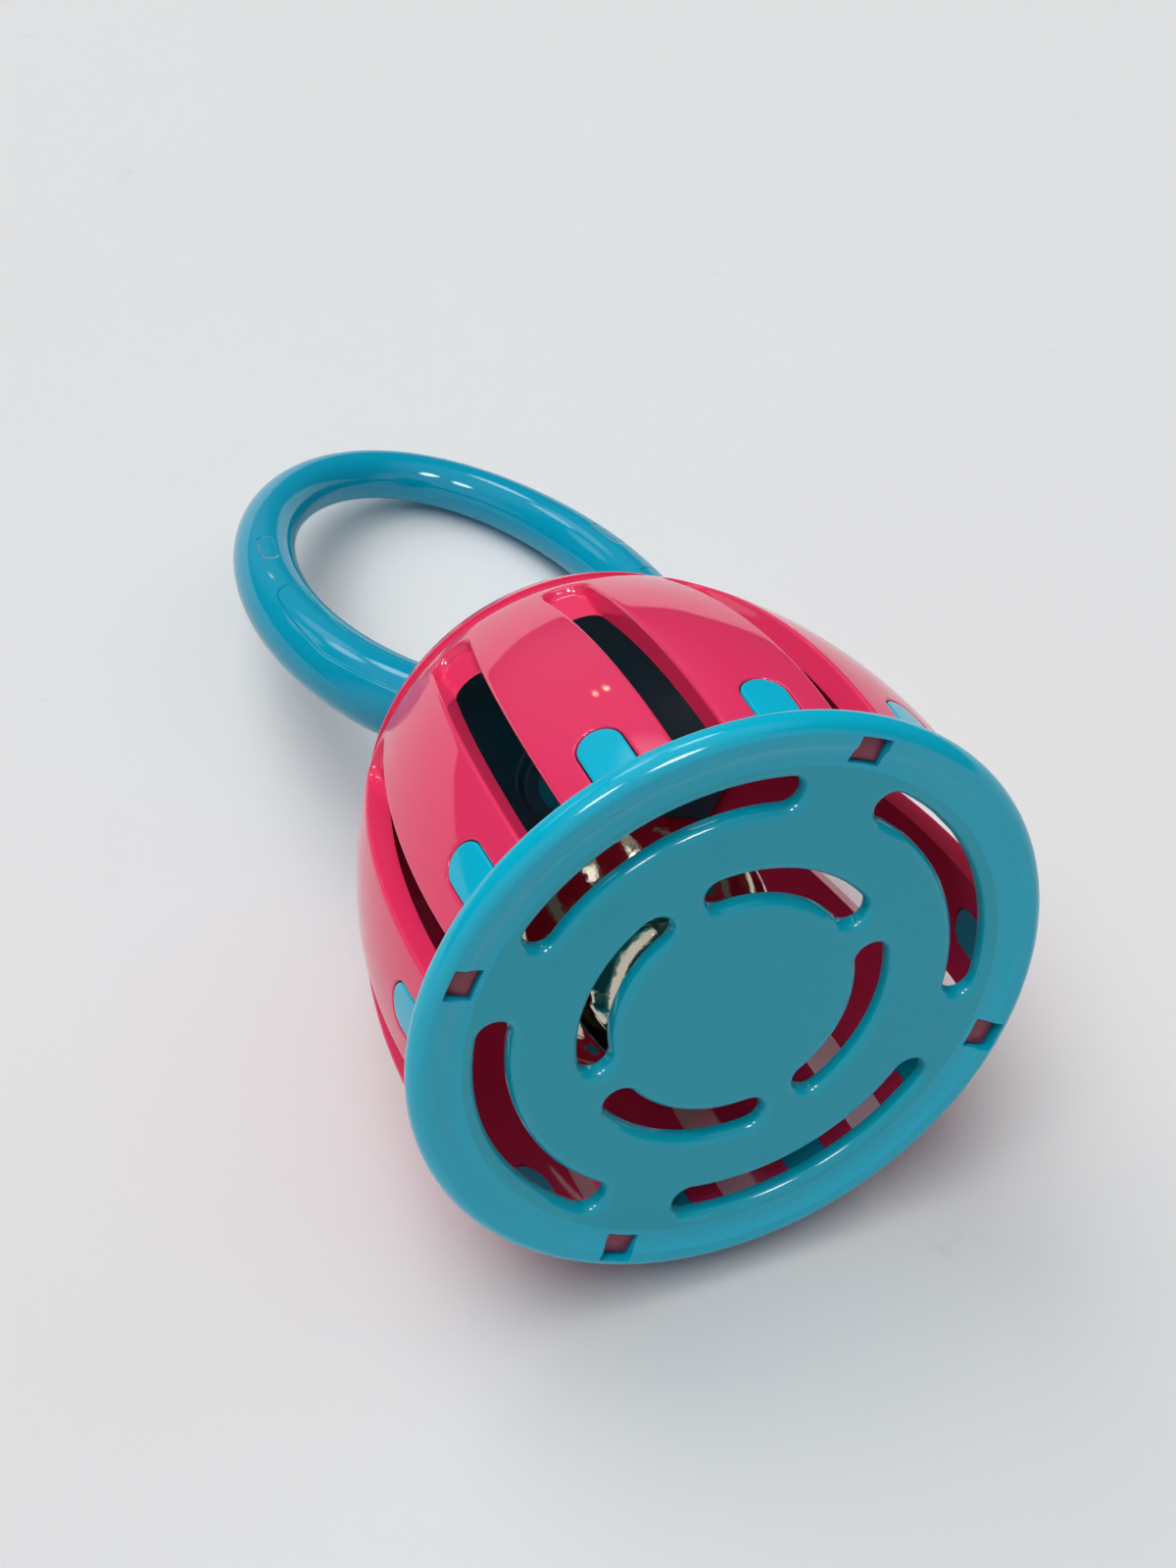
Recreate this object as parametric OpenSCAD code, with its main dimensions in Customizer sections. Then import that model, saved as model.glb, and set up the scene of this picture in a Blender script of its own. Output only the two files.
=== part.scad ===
// Cage bell rattle: a slotted dome with a loop handle and a base plate locked into it,
// trapping one loose jingle bell. It stands on its base plate, with +Z up through the handle.

/* [Cage dome] */
// Diameter at the widest point of the dome
cage_d = 76.8; // [74:0.2:82]
// Height of the widest point above the ground
belly_z = 10.7; // [8:0.1:13]
// Radius of the arc that the side of the dome follows
cage_arc_r = 94; // [90:1:110]
// Height of the crown above the ground
cage_h = 57.4; // [54:0.2:60]
// Wall thickness of the dome
wall_t = 3; // [2.4:0.1:3.4]
// Number of staves around the dome
stave_n = 12; // [10:1:12]
// Width of the groove between two staves at the outer face
groove_w = 5.9; // [5:0.1:6.5]
// Width of the window at the inner face of the wall
window_w = 4.7; // [3.8:0.1:4.8]
// Rounding of the upper corners of a groove
groove_corner_r = 2.4; // [1:0.1:2.8]
// Distance from the top of a groove to the top of the staves
groove_end = 1; // [0.6:0.1:2]
// Depth of a groove at its upper end
groove_depth = 0.9; // [0.6:0.1:1.2]
// Height of the ring that joins the staves at the foot
foot_ring_h = 1; // [0.8:0.1:2]

/* [Crown] */
// Height of the crown above the top of the staves
crown_h = 8; // [6:0.2:10]
// Height of the lip around the top of the crown
lip_h = 2.8; // [2:0.1:4]
// Depth of the band between the lip and the staves
band_depth = 0.5; // [0.3:0.1:0.8]
// Rounding of the lip
lip_r = 1.2; // [0.8:0.1:1.8]
// Radius of the seat that takes the foot of the handle
seat_r = 21; // [19:0.5:22]
// Depth of that seat
seat_depth = 1.2; // [0.8:0.1:1.6]
// Thickness of the crown wall under the seat
crown_t = 2.4; // [2:0.1:3]

/* [Base plate] */
// How far the rim stands out past the foot of the dome
rim_overhang = 2; // [1.6:0.1:2.3]
// Thickness of the rounded rim
rim_t = 4.4; // [4.2:0.1:5]
// Depth of the flat that the rim stands on
rim_flat = 0.12; // [0.08:0.02:0.16]
// Radius of the hollow between the rim and the plate
rim_fillet_r = 4.5; // [3:0.1:5]
// Height of the underside of the plate above the ground
plate_rise = 0.6; // [0.5:0.1:1]
// Thickness of the plate
plate_t = 2.1; // [1.9:0.1:2.5]
// Width of the sound slots
slot_w = 4.1; // [3.6:0.1:4.4]
// Bevel of the outer edges of the sound slots
slot_edge = 1.2; // [0.8:0.1:1.4]
// Distance from the edge of the rim to the middle of an outer slot
outer_slot_inset = 9.9; // [9.5:0.1:10.5]
// Angle between the tips of an outer slot
outer_slot_span = 70; // [50:1:74]
// Radius of the middle line of the inner slots
inner_slot_r = 17.6; // [16:0.1:19]
// Angle between the tips of an inner slot
inner_slot_span = 75; // [50:1:76]
// Number of slots in each of the two rings
slot_n = 4; // [4:1:4]

/* [Tongues and locks] */
// Width of a tongue of the base plate
tongue_w = 5.5; // [4.5:0.1:6.5]
// Height of a tongue above the plate
tongue_h = 9.3; // [6.5:0.1:10.5]
// Gap around a tongue in its notch, and around a lug in its window
lock_gap = 0.15; // [0.1:0.05:0.3]
// Width of a lock window around the axis
lock_w = 4.2; // [3.4:0.1:5]
// Length of a lock window along the radius
lock_len = 3.8; // [3.4:0.1:4]
// Depth of a lug in its lock window
lug_depth = 1.6; // [1.2:0.1:1.8]

/* [Handle] */
// Turn of the loop about the axis, from the first lock window
handle_turn = -9.5; // [-15:0.5:15]
// Half width of the loop, to the middle of its section
loop_half_w = 28.2; // [24:0.2:31]
// Half height of the loop, to the middle of its section
loop_half_h = 36.2; // [32:0.2:40]
// How much wider the loop is below its middle than above it
loop_egg = 0.073; // [0:0.001:0.12]
// Diameter of the section at the tip
loop_tip_d = 7.3; // [6:0.1:9]
// Diameter of the section at the foot
loop_foot_d = 11.4; // [9:0.1:13]
// Height of the lowest point of the loop's middle line above the seat
loop_rise = 3.9; // [3:0.1:5]
// Height of the edge of the foot above the seat
foot_edge_h = 1.4; // [1:0.1:2]
// Rise of the sloping edge of the foot
foot_slope_h = 1.2; // [0.8:0.1:1.6]
// Radius of the flat top of the foot
foot_top_r = 18; // [16:0.5:18.5]
// Gap around the foot in its seat
foot_gap = 0.15; // [0.1:0.05:0.3]
// Diameter of the spigot under the foot
spigot_d = 12; // [9:0.5:14]

/* [Retainer] */
// Thickness of the retaining disc
retainer_t = 2; // [1.6:0.1:2.4]
// Gap between the disc and the inside of the dome
retainer_gap = 0.8; // [0.5:0.1:1.5]
// Wall of the hub around the spigot
hub_wall = 2; // [1.5:0.1:3]
// Height of the hub under the disc
hub_h = 2.2; // [1.6:0.1:3]
// Gap between the spigot and the hole in the crown
spigot_gap = 0.1; // [0.05:0.05:0.2]

/* [Jingle bell] */
// Outer diameter of the bell
bell_d = 32.8; // [28:0.2:34]
// Thickness of the sheet metal
bell_t = 0.7; // [0.5:0.1:1]
// Offset of the bell from the axis, across
bell_x = 2.7; // [-4:0.1:4]
// Offset of the bell from the axis, along the second lock window
bell_y = -4.3; // [-6:0.1:6]
// Lean of the bell towards the second lock window, as it lies on the plate
bell_lean = -36; // [-45:1:0]
// Lean of the bell towards the first lock window
bell_tilt = 19; // [0:1:25]
// Turn of the leaning bell about the axis
bell_turn = 9; // [-20:1:20]
// Height of the crimped band around the bell
crimp_h = 1.8; // [1.2:0.1:2.4]
// Thickness of the crimped band
crimp_t = 0.6; // [0.4:0.1:0.8]
// Width of the slits in the lower shell
slit_w = 2.2; // [1.4:0.1:2.4]
// Angle from the pole of the bell to the end of a slit
slit_angle = 66; // [45:1:68]
// Diameter of the hole at the end of a slit
slit_hole_d = 4; // [3:0.1:5]
// Diameter of the pellet
pellet_d = 9; // [7:0.5:10]
// Thickness of the strip of the eye
strip_t = 1; // [0.8:0.1:1.2]
// Width of the strip of the eye
strip_w = 2.4; // [1.8:0.1:3]
// Outer radius of the eye
eye_r = 3.6; // [3:0.1:4.4]
// Straight height of the eye above the shell
eye_neck = 1.2; // [0.8:0.1:2]
// Length of each foot of the eye inside the shell
eye_foot = 2.4; // [1.8:0.1:3]
// Gap between loose pieces and what they lie on
rest_gap = 0.3; // [0.2:0.05:0.4]
// Gap around the strip in its holes
strip_gap = 0.1; // [0.05:0.05:0.2]

/* [Hidden] */
$fn = 96;

// overlap of cutters past the faces that they cut
past = 1;
// room between the flanks of a groove and the sides of its outline
flank_margin = 0.4;
// overlap of two shapes joined into one piece
join = 0.4;
// straight steps along the arc of the dome, and along a small round of a section
arc_steps = 9;
round_steps = 8;

// centre of the arc of the dome, on the axis side
arc_x = cage_d / 2 - cage_arc_r;
// radius of the dome at a height, a distance in from its outer face
function cage_r(z, inset = 0) = arc_x + sqrt(pow(cage_arc_r - inset, 2) - pow(z - belly_z, 2));

stave_step = 360 / stave_n;
// the seam of the dome's round faces lies on a plain part of a stave
seam_turn = stave_step * 0.27;
plate_top = plate_rise + plate_t;
foot_r = cage_r(plate_top);
foot_in_r = cage_r(plate_top, wall_t);
stave_top = cage_h - crown_h;
lip_z = cage_h - lip_h;
seat_z = cage_h - seat_depth;
crown_under = seat_z - crown_t;
groove_top = stave_top - groove_end;
groove_floor_r = cage_r(groove_top) - groove_depth;

base_r = foot_r + rim_overhang;
rim_r = rim_t / 2;
rim_x = base_r - rim_r;
rim_z = rim_r - rim_flat;
outer_slot_r = base_r - outer_slot_inset;
lock_r = (foot_r + foot_in_r) / 2;

loop_mid_z = seat_z + loop_rise + loop_half_h;
foot_disc_r = seat_r - foot_gap;
hub_bottom = crown_under - retainer_t - hub_h;
retainer_r = cage_r(crown_under, wall_t) - retainer_gap;

bell_r = bell_d / 2;
bell_in_r = bell_r - bell_t;
bell_z = plate_top + rest_gap + bell_r;
pellet_drop = bell_in_r - pellet_d / 2 - rest_gap;

// Sections

// Points along the arc of the dome between two heights, an inset in from its outer face
function arc_points(inset, z0, z1) = [for (i = [0 : arc_steps])
    let (z = z0 + (z1 - z0) * i / arc_steps) [cage_r(z, inset), z]];
// Points of a small round in a section, about a centre
function round_points(c, r, a0, a1) = [for (i = [0 : round_steps])
    let (a = a0 + (a1 - a0) * i / round_steps) [c[0] + r * cos(a), c[1] + r * sin(a)]];
// A list of points the other way round
function reversed(list) = [for (i = [len(list) - 1 : -1 : 0]) list[i]];

// Cage dome

// Wall, band, rounded lip, seat of the handle and hole for its spigot
module dome_shell() {
    lip_c_z = cage_h - lip_r;
    lip_c = [cage_r(lip_c_z, lip_r), lip_c_z];
    lip_a = asin((lip_c_z - belly_z) / (cage_arc_r - lip_r));
    hole_r = spigot_d / 2 + spigot_gap;
    rotate([0, 0, seam_turn]) rotate_extrude($fn = 180) polygon(concat(
        arc_points(0, plate_top, stave_top),
        [[cage_r(stave_top, band_depth), stave_top]],
        [[cage_r(lip_z, band_depth), lip_z], [cage_r(lip_z), lip_z]],
        round_points(lip_c, lip_r, lip_a, 90),
        [[seat_r, cage_h], [seat_r, seat_z], [hole_r, seat_z], [hole_r, crown_under]],
        reversed(arc_points(wall_t, plate_top, crown_under))));
}

// Front view of a groove, wider than its flanks, with the rounded upper corners
module groove_outline() {
    low = plate_top + foot_ring_h;
    half = groove_w / 2 + flank_margin;
    translate([-half, low]) square([2 * half, groove_top - groove_corner_r - low]);
    translate([groove_corner_r - half, low]) square([2 * (half - groove_corner_r), groove_top - low]);
    for (side = [-1, 1])
        translate([side * (half - groove_corner_r), groove_top - groove_corner_r])
            circle(r = groove_corner_r);
}

// Bar between the flat flanks of a groove: it leans along the side of the dome and
// closes in with depth, so that the flanks run parallel on the face of the staves
module flank_bar() {
    low = plate_top + foot_ring_h;
    run = groove_top - low;
    fall = cage_r(low) - cage_r(groove_top);
    chord = sqrt(run * run + fall * fall);
    sag = cage_arc_r - sqrt(pow(cage_arc_r, 2) - pow(chord / 2, 2));
    draft = (groove_w - window_w) / 2 / wall_t;
    out = sag + past;
    deep = wall_t + sag + past;
    half = groove_w / 2;
    translate([cage_r(low), 0, low]) rotate([0, -atan2(fall, run), 0])
        translate([sag * 2 / 3, 0, -chord / 4]) linear_extrude(chord * 1.5)
            polygon([[out, -half - draft * out], [out, half + draft * out],
                     [-deep, half - draft * deep], [-deep, draft * deep - half]]);
}

// Groove and window between two staves, with an upright floor below the crown
module groove() {
    intersection() {
        flank_bar();
        translate([groove_floor_r, 0, 0]) rotate([90, 0, 90]) linear_extrude(cage_d / 2) groove_outline();
    }
}

// Bar through the wall with the outline of a round-topped tongue, grown by a gap for its notch
module tongue_bar(gap) {
    half = tongue_w / 2 + gap;
    top = plate_top + tongue_h + gap;
    start = cage_r(top, wall_t) - past;
    translate([start, 0, 0]) rotate([90, 0, 90]) linear_extrude(cage_d / 2 + past - start) {
        translate([-half, plate_top - join]) square([2 * half, top - half - plate_top + join]);
        translate([0, top - half]) circle(r = half);
    }
}

// A peg under the foot ring that drops into a lock window
module lug() {
    lug_w = lock_w - 2 * lock_gap;
    inner = lock_r - lock_len / 2 + lock_gap;
    translate([inner, -lug_w / 2, plate_top - lug_depth])
        cube([foot_r - lock_gap - inner, lug_w, lug_depth + join]);
}

module cage_dome() {
    color("#e2385f") {
        difference() {
            dome_shell();
            for (i = [0 : stave_n - 1]) {
                rotate([0, 0, i * stave_step]) groove();
                rotate([0, 0, (i + 0.5) * stave_step]) tongue_bar(lock_gap);
            }
        }
        for (i = [0 : slot_n - 1]) rotate([0, 0, i * 360 / slot_n]) lug();
    }
}

// Base plate

// Plate with a round rim, run into the plate by a hollow, and a step that the dome stands in
module plate_disc() {
    fillet_z = plate_rise - rim_fillet_r;
    fillet_x = rim_x - sqrt(pow(rim_fillet_r + rim_r, 2) - pow(rim_z - fillet_z, 2));
    meet_a = atan2(rim_z - fillet_z, rim_x - fillet_x);
    ground_a = asin(rim_z / rim_r);
    step_r = foot_r + lock_gap;
    step_a = acos((step_r - rim_x) / rim_r);
    rotate_extrude($fn = 180) polygon(concat(
        [[0, plate_rise]],
        round_points([fillet_x, fillet_z], rim_fillet_r, 90, meet_a),
        round_points([rim_x, rim_z], rim_r, meet_a + 180, 360 - (180 - ground_a)),
        round_points([rim_x, rim_z], rim_r, -ground_a, step_a),
        [[step_r, plate_top], [0, plate_top]]));
}

// Arc slot with round ends and a bevelled outer edge; the span is the angle between its tips
module arc_slot(r, span) {
    half = span / 2 - asin(slot_w / 2 / r);
    // half of the section, from the middle of the slot
    wide = slot_w / 2 + slot_edge + join;
    side_points = [[wide, plate_rise - join], [slot_w / 2, plate_rise + slot_edge],
                   [slot_w / 2, plate_top + past]];
    rotate([0, 0, -half]) rotate_extrude(angle = 2 * half, $fn = 180)
        translate([r, 0]) polygon(concat(side_points, [for (q = reversed(side_points)) [-q[0], q[1]]]));
    for (side = [-1, 1])
        rotate([0, 0, side * half]) translate([r, 0, 0]) rotate_extrude()
            polygon(concat([[0, plate_rise - join]], side_points, [[0, plate_top + past]]));
}

// Opening for a lug, from the ground up to the foot of the dome
module lock_window() {
    translate([lock_r - lock_len / 2, -lock_w / 2, -past]) cube([lock_len, lock_w, plate_top + past]);
}

// Tongues: the part of the dome's wall that fills the notches, rooted in the plate
module tongues() {
    intersection() {
        rotate_extrude($fn = 180) polygon(concat(
            [[foot_r, plate_top - join]], arc_points(0, plate_top, stave_top),
            reversed(arc_points(wall_t, plate_top, stave_top)), [[foot_in_r, plate_top - join]]));
        for (i = [0 : stave_n - 1]) rotate([0, 0, (i + 0.5) * stave_step]) tongue_bar(0);
    }
}

module base_plate() {
    color("#12a5bd") {
        difference() {
            plate_disc();
            for (i = [0 : slot_n - 1]) rotate([0, 0, i * 360 / slot_n]) {
                rotate([0, 0, 180 / slot_n]) arc_slot(outer_slot_r, outer_slot_span);
                arc_slot(inner_slot_r, inner_slot_span);
                lock_window();
            }
        }
        tongues();
    }
}

// Handle

// Middle line and radius of the loop at an angle around it, 90 at the tip
function loop_x(t) = loop_half_w * cos(t) * (1 - loop_egg * sin(t));
function loop_z(t) = loop_mid_z + loop_half_h * sin(t);
function loop_radius(t) = (loop_foot_d + loop_tip_d) / 4 - (loop_foot_d - loop_tip_d) / 4 * sin(t);
// direction out of the loop, square to its middle line
function loop_slope(t) = atan2(loop_x(t - 0.5) - loop_x(t + 0.5), loop_z(t + 0.5) - loop_z(t - 0.5));

// One closed tapering tube, lofted through round sections
module loop_tube() {
    ring_n = 64;
    side_n = 20;
    points = [for (i = [0 : ring_n - 1], j = [0 : side_n - 1])
        let (t = i * 360 / ring_n, s = j * 360 / side_n, r = loop_radius(t), a = loop_slope(t))
        [loop_x(t) + r * cos(s) * cos(a), r * sin(s), loop_z(t) + r * cos(s) * sin(a)]];
    faces = [for (i = [0 : ring_n - 1], j = [0 : side_n - 1])
        let (i2 = (i + 1) % ring_n, j2 = (j + 1) % side_n)
        each [[i * side_n + j, i2 * side_n + j2, i * side_n + j2],
              [i * side_n + j, i2 * side_n + j, i2 * side_n + j2]]];
    polyhedron(points, faces);
}

// Round foot in the seat of the crown, sloping up to a flat top, with its spigot
module handle_foot() {
    spigot_r = spigot_d / 2;
    edge_z = seat_z + foot_edge_h;
    top_z = edge_z + foot_slope_h;
    rotate_extrude($fn = 120) polygon([
        [0, hub_bottom], [spigot_r, hub_bottom], [spigot_r, seat_z], [foot_disc_r, seat_z],
        [foot_disc_r, edge_z], [foot_top_r, top_z], [0, top_z]]);
}

module handle() {
    color("#0f93b4") rotate([0, 0, handle_turn]) {
        difference() {
            loop_tube();
            // the loop ends inside the foot
            translate([-loop_half_w, -loop_half_w, 0])
                cube([2 * loop_half_w, 2 * loop_half_w, seat_z + foot_edge_h / 2]);
        }
        handle_foot();
    }
}

// Disc under the crown, with a hub pressed on the spigot
module handle_retainer() {
    color("#0f93b4") rotate_extrude($fn = 120) {
        translate([spigot_d / 2, crown_under - retainer_t]) square([retainer_r - spigot_d / 2, retainer_t]);
        translate([spigot_d / 2, hub_bottom]) square([hub_wall, hub_h + retainer_t]);
    }
}

// Jingle bell, made about its own centre

// Place of the bell on the plate, leaning as a loose bell does
module at_bell() {
    translate([bell_x, bell_y, bell_z]) rotate([bell_lean, bell_tilt, bell_turn]) children();
}

// Half of a hollow ball; side is 1 for the upper half and -1 for the lower one
module half_shell(side) {
    intersection() {
        difference() {
            sphere(r = bell_r);
            sphere(r = bell_in_r);
        }
        translate([-bell_r, -bell_r, side > 0 ? 0 : -bell_r]) cube([bell_d, bell_d, bell_r]);
    }
}

module bell_upper_shell() {
    hole_t = strip_t + 2 * strip_gap;
    hole_w = strip_w + 2 * strip_gap;
    color("#c9cbcf") at_bell() {
        difference() {
            half_shell(1);
            for (side = [-1, 1])
                translate([side * (eye_r - strip_t / 2) - hole_t / 2, -hole_w / 2, 0])
                    cube([hole_t, hole_w, bell_d]);
        }
        // band crimped over the edge of the lower shell
        rotate_extrude($fn = 120) translate([bell_r, -crimp_h / 2]) {
            square([crimp_t / 2, crimp_h]);
            translate([0, crimp_t / 2]) square([crimp_t, crimp_h - crimp_t]);
        }
        rotate_extrude($fn = 120) translate([bell_r - bell_t, 0]) square([bell_t, crimp_h / 2]);
    }
}

module bell_lower_shell() {
    slit_reach = bell_r * sin(slit_angle);
    color("#bfc2c6") at_bell() difference() {
        half_shell(-1);
        for (turn = [0, 90]) rotate([0, 0, turn]) {
            translate([-slit_reach, -slit_w / 2, -bell_d]) cube([2 * slit_reach, slit_w, bell_d]);
            for (side = [-1, 1])
                rotate([0, 180 + side * slit_angle, 0]) cylinder(d = slit_hole_d, h = bell_d);
        }
    }
}

// Eye of bent strip through two holes in the upper shell, with its ends turned outwards inside
module bell_loop() {
    arch_z = bell_r + eye_neck;
    foot_x = eye_r + eye_foot;
    foot_z = sqrt(pow(bell_in_r, 2) - pow(foot_x, 2) - pow(strip_w / 2, 2)) - rest_gap / 2;
    color("#b4b7bb") at_bell() rotate([90, 0, 0]) translate([0, 0, -strip_w / 2]) linear_extrude(strip_w) {
        difference() {
            union() {
                translate([0, arch_z]) circle(r = eye_r, $fn = 48);
                translate([-eye_r, foot_z - strip_t]) square([2 * eye_r, arch_z - foot_z + strip_t]);
            }
            translate([0, arch_z]) circle(r = eye_r - strip_t, $fn = 48);
            translate([strip_t - eye_r, foot_z - strip_t - past])
                square([2 * (eye_r - strip_t), arch_z - foot_z + strip_t + past]);
        }
        for (side = [-1, 1])
            translate([side * (eye_r + eye_foot / 2 - join / 2) - eye_foot / 2 - join / 2, foot_z - strip_t])
                square([eye_foot + join, strip_t]);
    }
}

// Loose ball at the bottom of the bell
module bell_pellet() {
    color("#8d9094") translate([bell_x, bell_y, bell_z - pellet_drop]) sphere(d = pellet_d);
}

cage_dome();
base_plate();
handle();
handle_retainer();
bell_upper_shell();
bell_lower_shell();
bell_loop();
bell_pellet();
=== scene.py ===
"""Cage bell rattle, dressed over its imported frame: cage, slotted base, loop handle and jingle bell."""

import logging
import math
from collections.abc import Callable, Sequence
from dataclasses import dataclass, field
from enum import Enum

import bmesh
import bpy
import numpy as np
from mathutils import Euler, Matrix, Vector
from mathutils.geometry import delaunay_2d_cdt


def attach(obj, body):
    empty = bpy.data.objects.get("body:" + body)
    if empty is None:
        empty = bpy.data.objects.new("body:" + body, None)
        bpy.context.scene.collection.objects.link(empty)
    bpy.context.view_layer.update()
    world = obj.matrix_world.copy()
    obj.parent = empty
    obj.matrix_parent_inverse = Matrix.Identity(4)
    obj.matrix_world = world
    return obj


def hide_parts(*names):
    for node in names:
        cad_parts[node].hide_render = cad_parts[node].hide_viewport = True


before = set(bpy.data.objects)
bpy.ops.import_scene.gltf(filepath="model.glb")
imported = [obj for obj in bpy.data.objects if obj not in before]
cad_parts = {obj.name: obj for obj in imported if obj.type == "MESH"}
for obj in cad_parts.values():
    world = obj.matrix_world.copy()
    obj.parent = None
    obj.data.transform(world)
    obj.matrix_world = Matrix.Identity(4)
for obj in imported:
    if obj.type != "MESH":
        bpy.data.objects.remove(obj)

log = logging.getLogger("rattle")
MM = 0.001
WELD = 4e-6
Pair = tuple[float, float]
Point = tuple[float, float, float]
Socket = bpy.types.NodeSocket
Tree = bpy.types.NodeTree
Obj = bpy.types.Object


def srgb(code: str) -> tuple[float, float, float, float]:
    """Turn an sRGB hex colour into linear RGBA.

    Args:
        code: Six hex digits, with or without a leading hash.

    Returns:
        Linear red, green, blue and an alpha of one.
    """
    raw = code.lstrip("#")
    parts = [int(raw[i : i + 2], 16) / 255 for i in (0, 2, 4)]
    lin = [c / 12.92 if c <= 0.04045 else ((c + 0.055) / 1.055) ** 2.4 for c in parts]
    return (*lin, 1.0)


def node(tree: Tree, kind: str, ins: dict | None = None, **settings: object) -> bpy.types.Node:
    """Add one node to a tree, set it up and wire its inputs.

    Args:
        tree: Shader or geometry tree that gets the node.
        kind: Blender's type name of the node.
        ins: Input name or index to a value, or to the socket that feeds it.
        settings: Properties of the node itself.

    Returns:
        The new node.
    """
    made = tree.nodes.new(kind)
    for key, value in settings.items():
        setattr(made, key, value)
    for key, value in (ins or {}).items():
        if isinstance(value, Socket):
            tree.links.new(value, made.inputs[key])
        else:
            made.inputs[key].default_value = value
    return made


def calc(tree: Tree, operation: str, *values: object) -> Socket:
    """Add a math node to a tree.

    Args:
        tree: Tree that gets the node.
        operation: Blender's name of the operation.
        values: Numbers, or the sockets that feed the inputs, in order.

    Returns:
        Socket of the result.
    """
    return node(tree, "ShaderNodeMath", dict(enumerate(values)), operation=operation).outputs[0]


def ramp(tree: Tree, value: Socket, span: Pair, to: Pair, smooth: bool = False) -> Socket:
    """Add a node that maps a value from one span to another and holds it at the ends.

    Args:
        tree: Tree that gets the node.
        value: Socket of the value.
        span: Where the value starts and ends.
        to: What it becomes there.
        smooth: Whether the ends are eased.

    Returns:
        Socket of the result.
    """
    ins = {"Value": value, "From Min": span[0], "From Max": span[1], "To Min": to[0], "To Max": to[1]}
    kind = "SMOOTHSTEP" if smooth else "LINEAR"
    return node(tree, "ShaderNodeMapRange", ins, interpolation_type=kind).outputs[0]


def noise(tree: Tree, where: Socket, size_mm: float, detail: float, rough: float = 0.5) -> Socket:
    """Add a noise whose largest cells have a real size.

    Args:
        tree: Tree that gets the node.
        where: Socket of the coordinates, in metres.
        size_mm: Size of the cells in millimetres.
        detail: Number of finer layers.
        rough: How strong the finer layers are.

    Returns:
        Socket of the value.
    """
    ins = {"Vector": where, "Scale": 1 / (size_mm * MM), "Detail": detail, "Roughness": rough}
    return node(tree, "ShaderNodeTexNoise", ins).outputs["Fac"]


def bump(tree: Tree, depth_mm: float, height: Socket, under: Socket | None = None) -> Socket:
    """Add a bump of a real depth.

    Args:
        tree: Tree that gets the node.
        depth_mm: Depth in millimetres.
        height: Socket of the height, from 0 to 1.
        under: Socket of the normal that it goes on, if not the plain one.

    Returns:
        Socket of the normal.
    """
    ins = {"Strength": 1.0, "Distance": depth_mm * MM, "Height": height}
    if under is not None:
        ins["Normal"] = under
    return node(tree, "ShaderNodeBump", ins).outputs[0]


def tinted(tree: Tree, colour: str, factor: Socket) -> Socket:
    """Multiply a colour by a factor.

    Args:
        tree: Tree that gets the node.
        colour: Colour as sRGB hex.
        factor: Socket of the factor.

    Returns:
        Socket of the colour.
    """
    ins = {0: 1.0, 6: srgb(colour), 7: factor}
    return node(tree, "ShaderNodeMix", ins, data_type="RGBA", blend_type="MULTIPLY").outputs[2]


def blank(owner: bpy.types.Material | bpy.types.World) -> Tree:
    """Give a material or a world an empty node tree.

    Args:
        owner: Material or world.

    Returns:
        Its tree.
    """
    owner.use_nodes = True
    owner.node_tree.nodes.clear()
    return owner.node_tree


def put(name: str, data: bpy.types.ID) -> Obj:
    """Put data in the scene as an object.

    Args:
        name: Name of the object.
        data: Mesh, camera or light.

    Returns:
        The object, at the origin.
    """
    obj = bpy.data.objects.new(name, data)
    bpy.context.scene.collection.objects.link(obj)
    return obj


# Sizes


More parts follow.
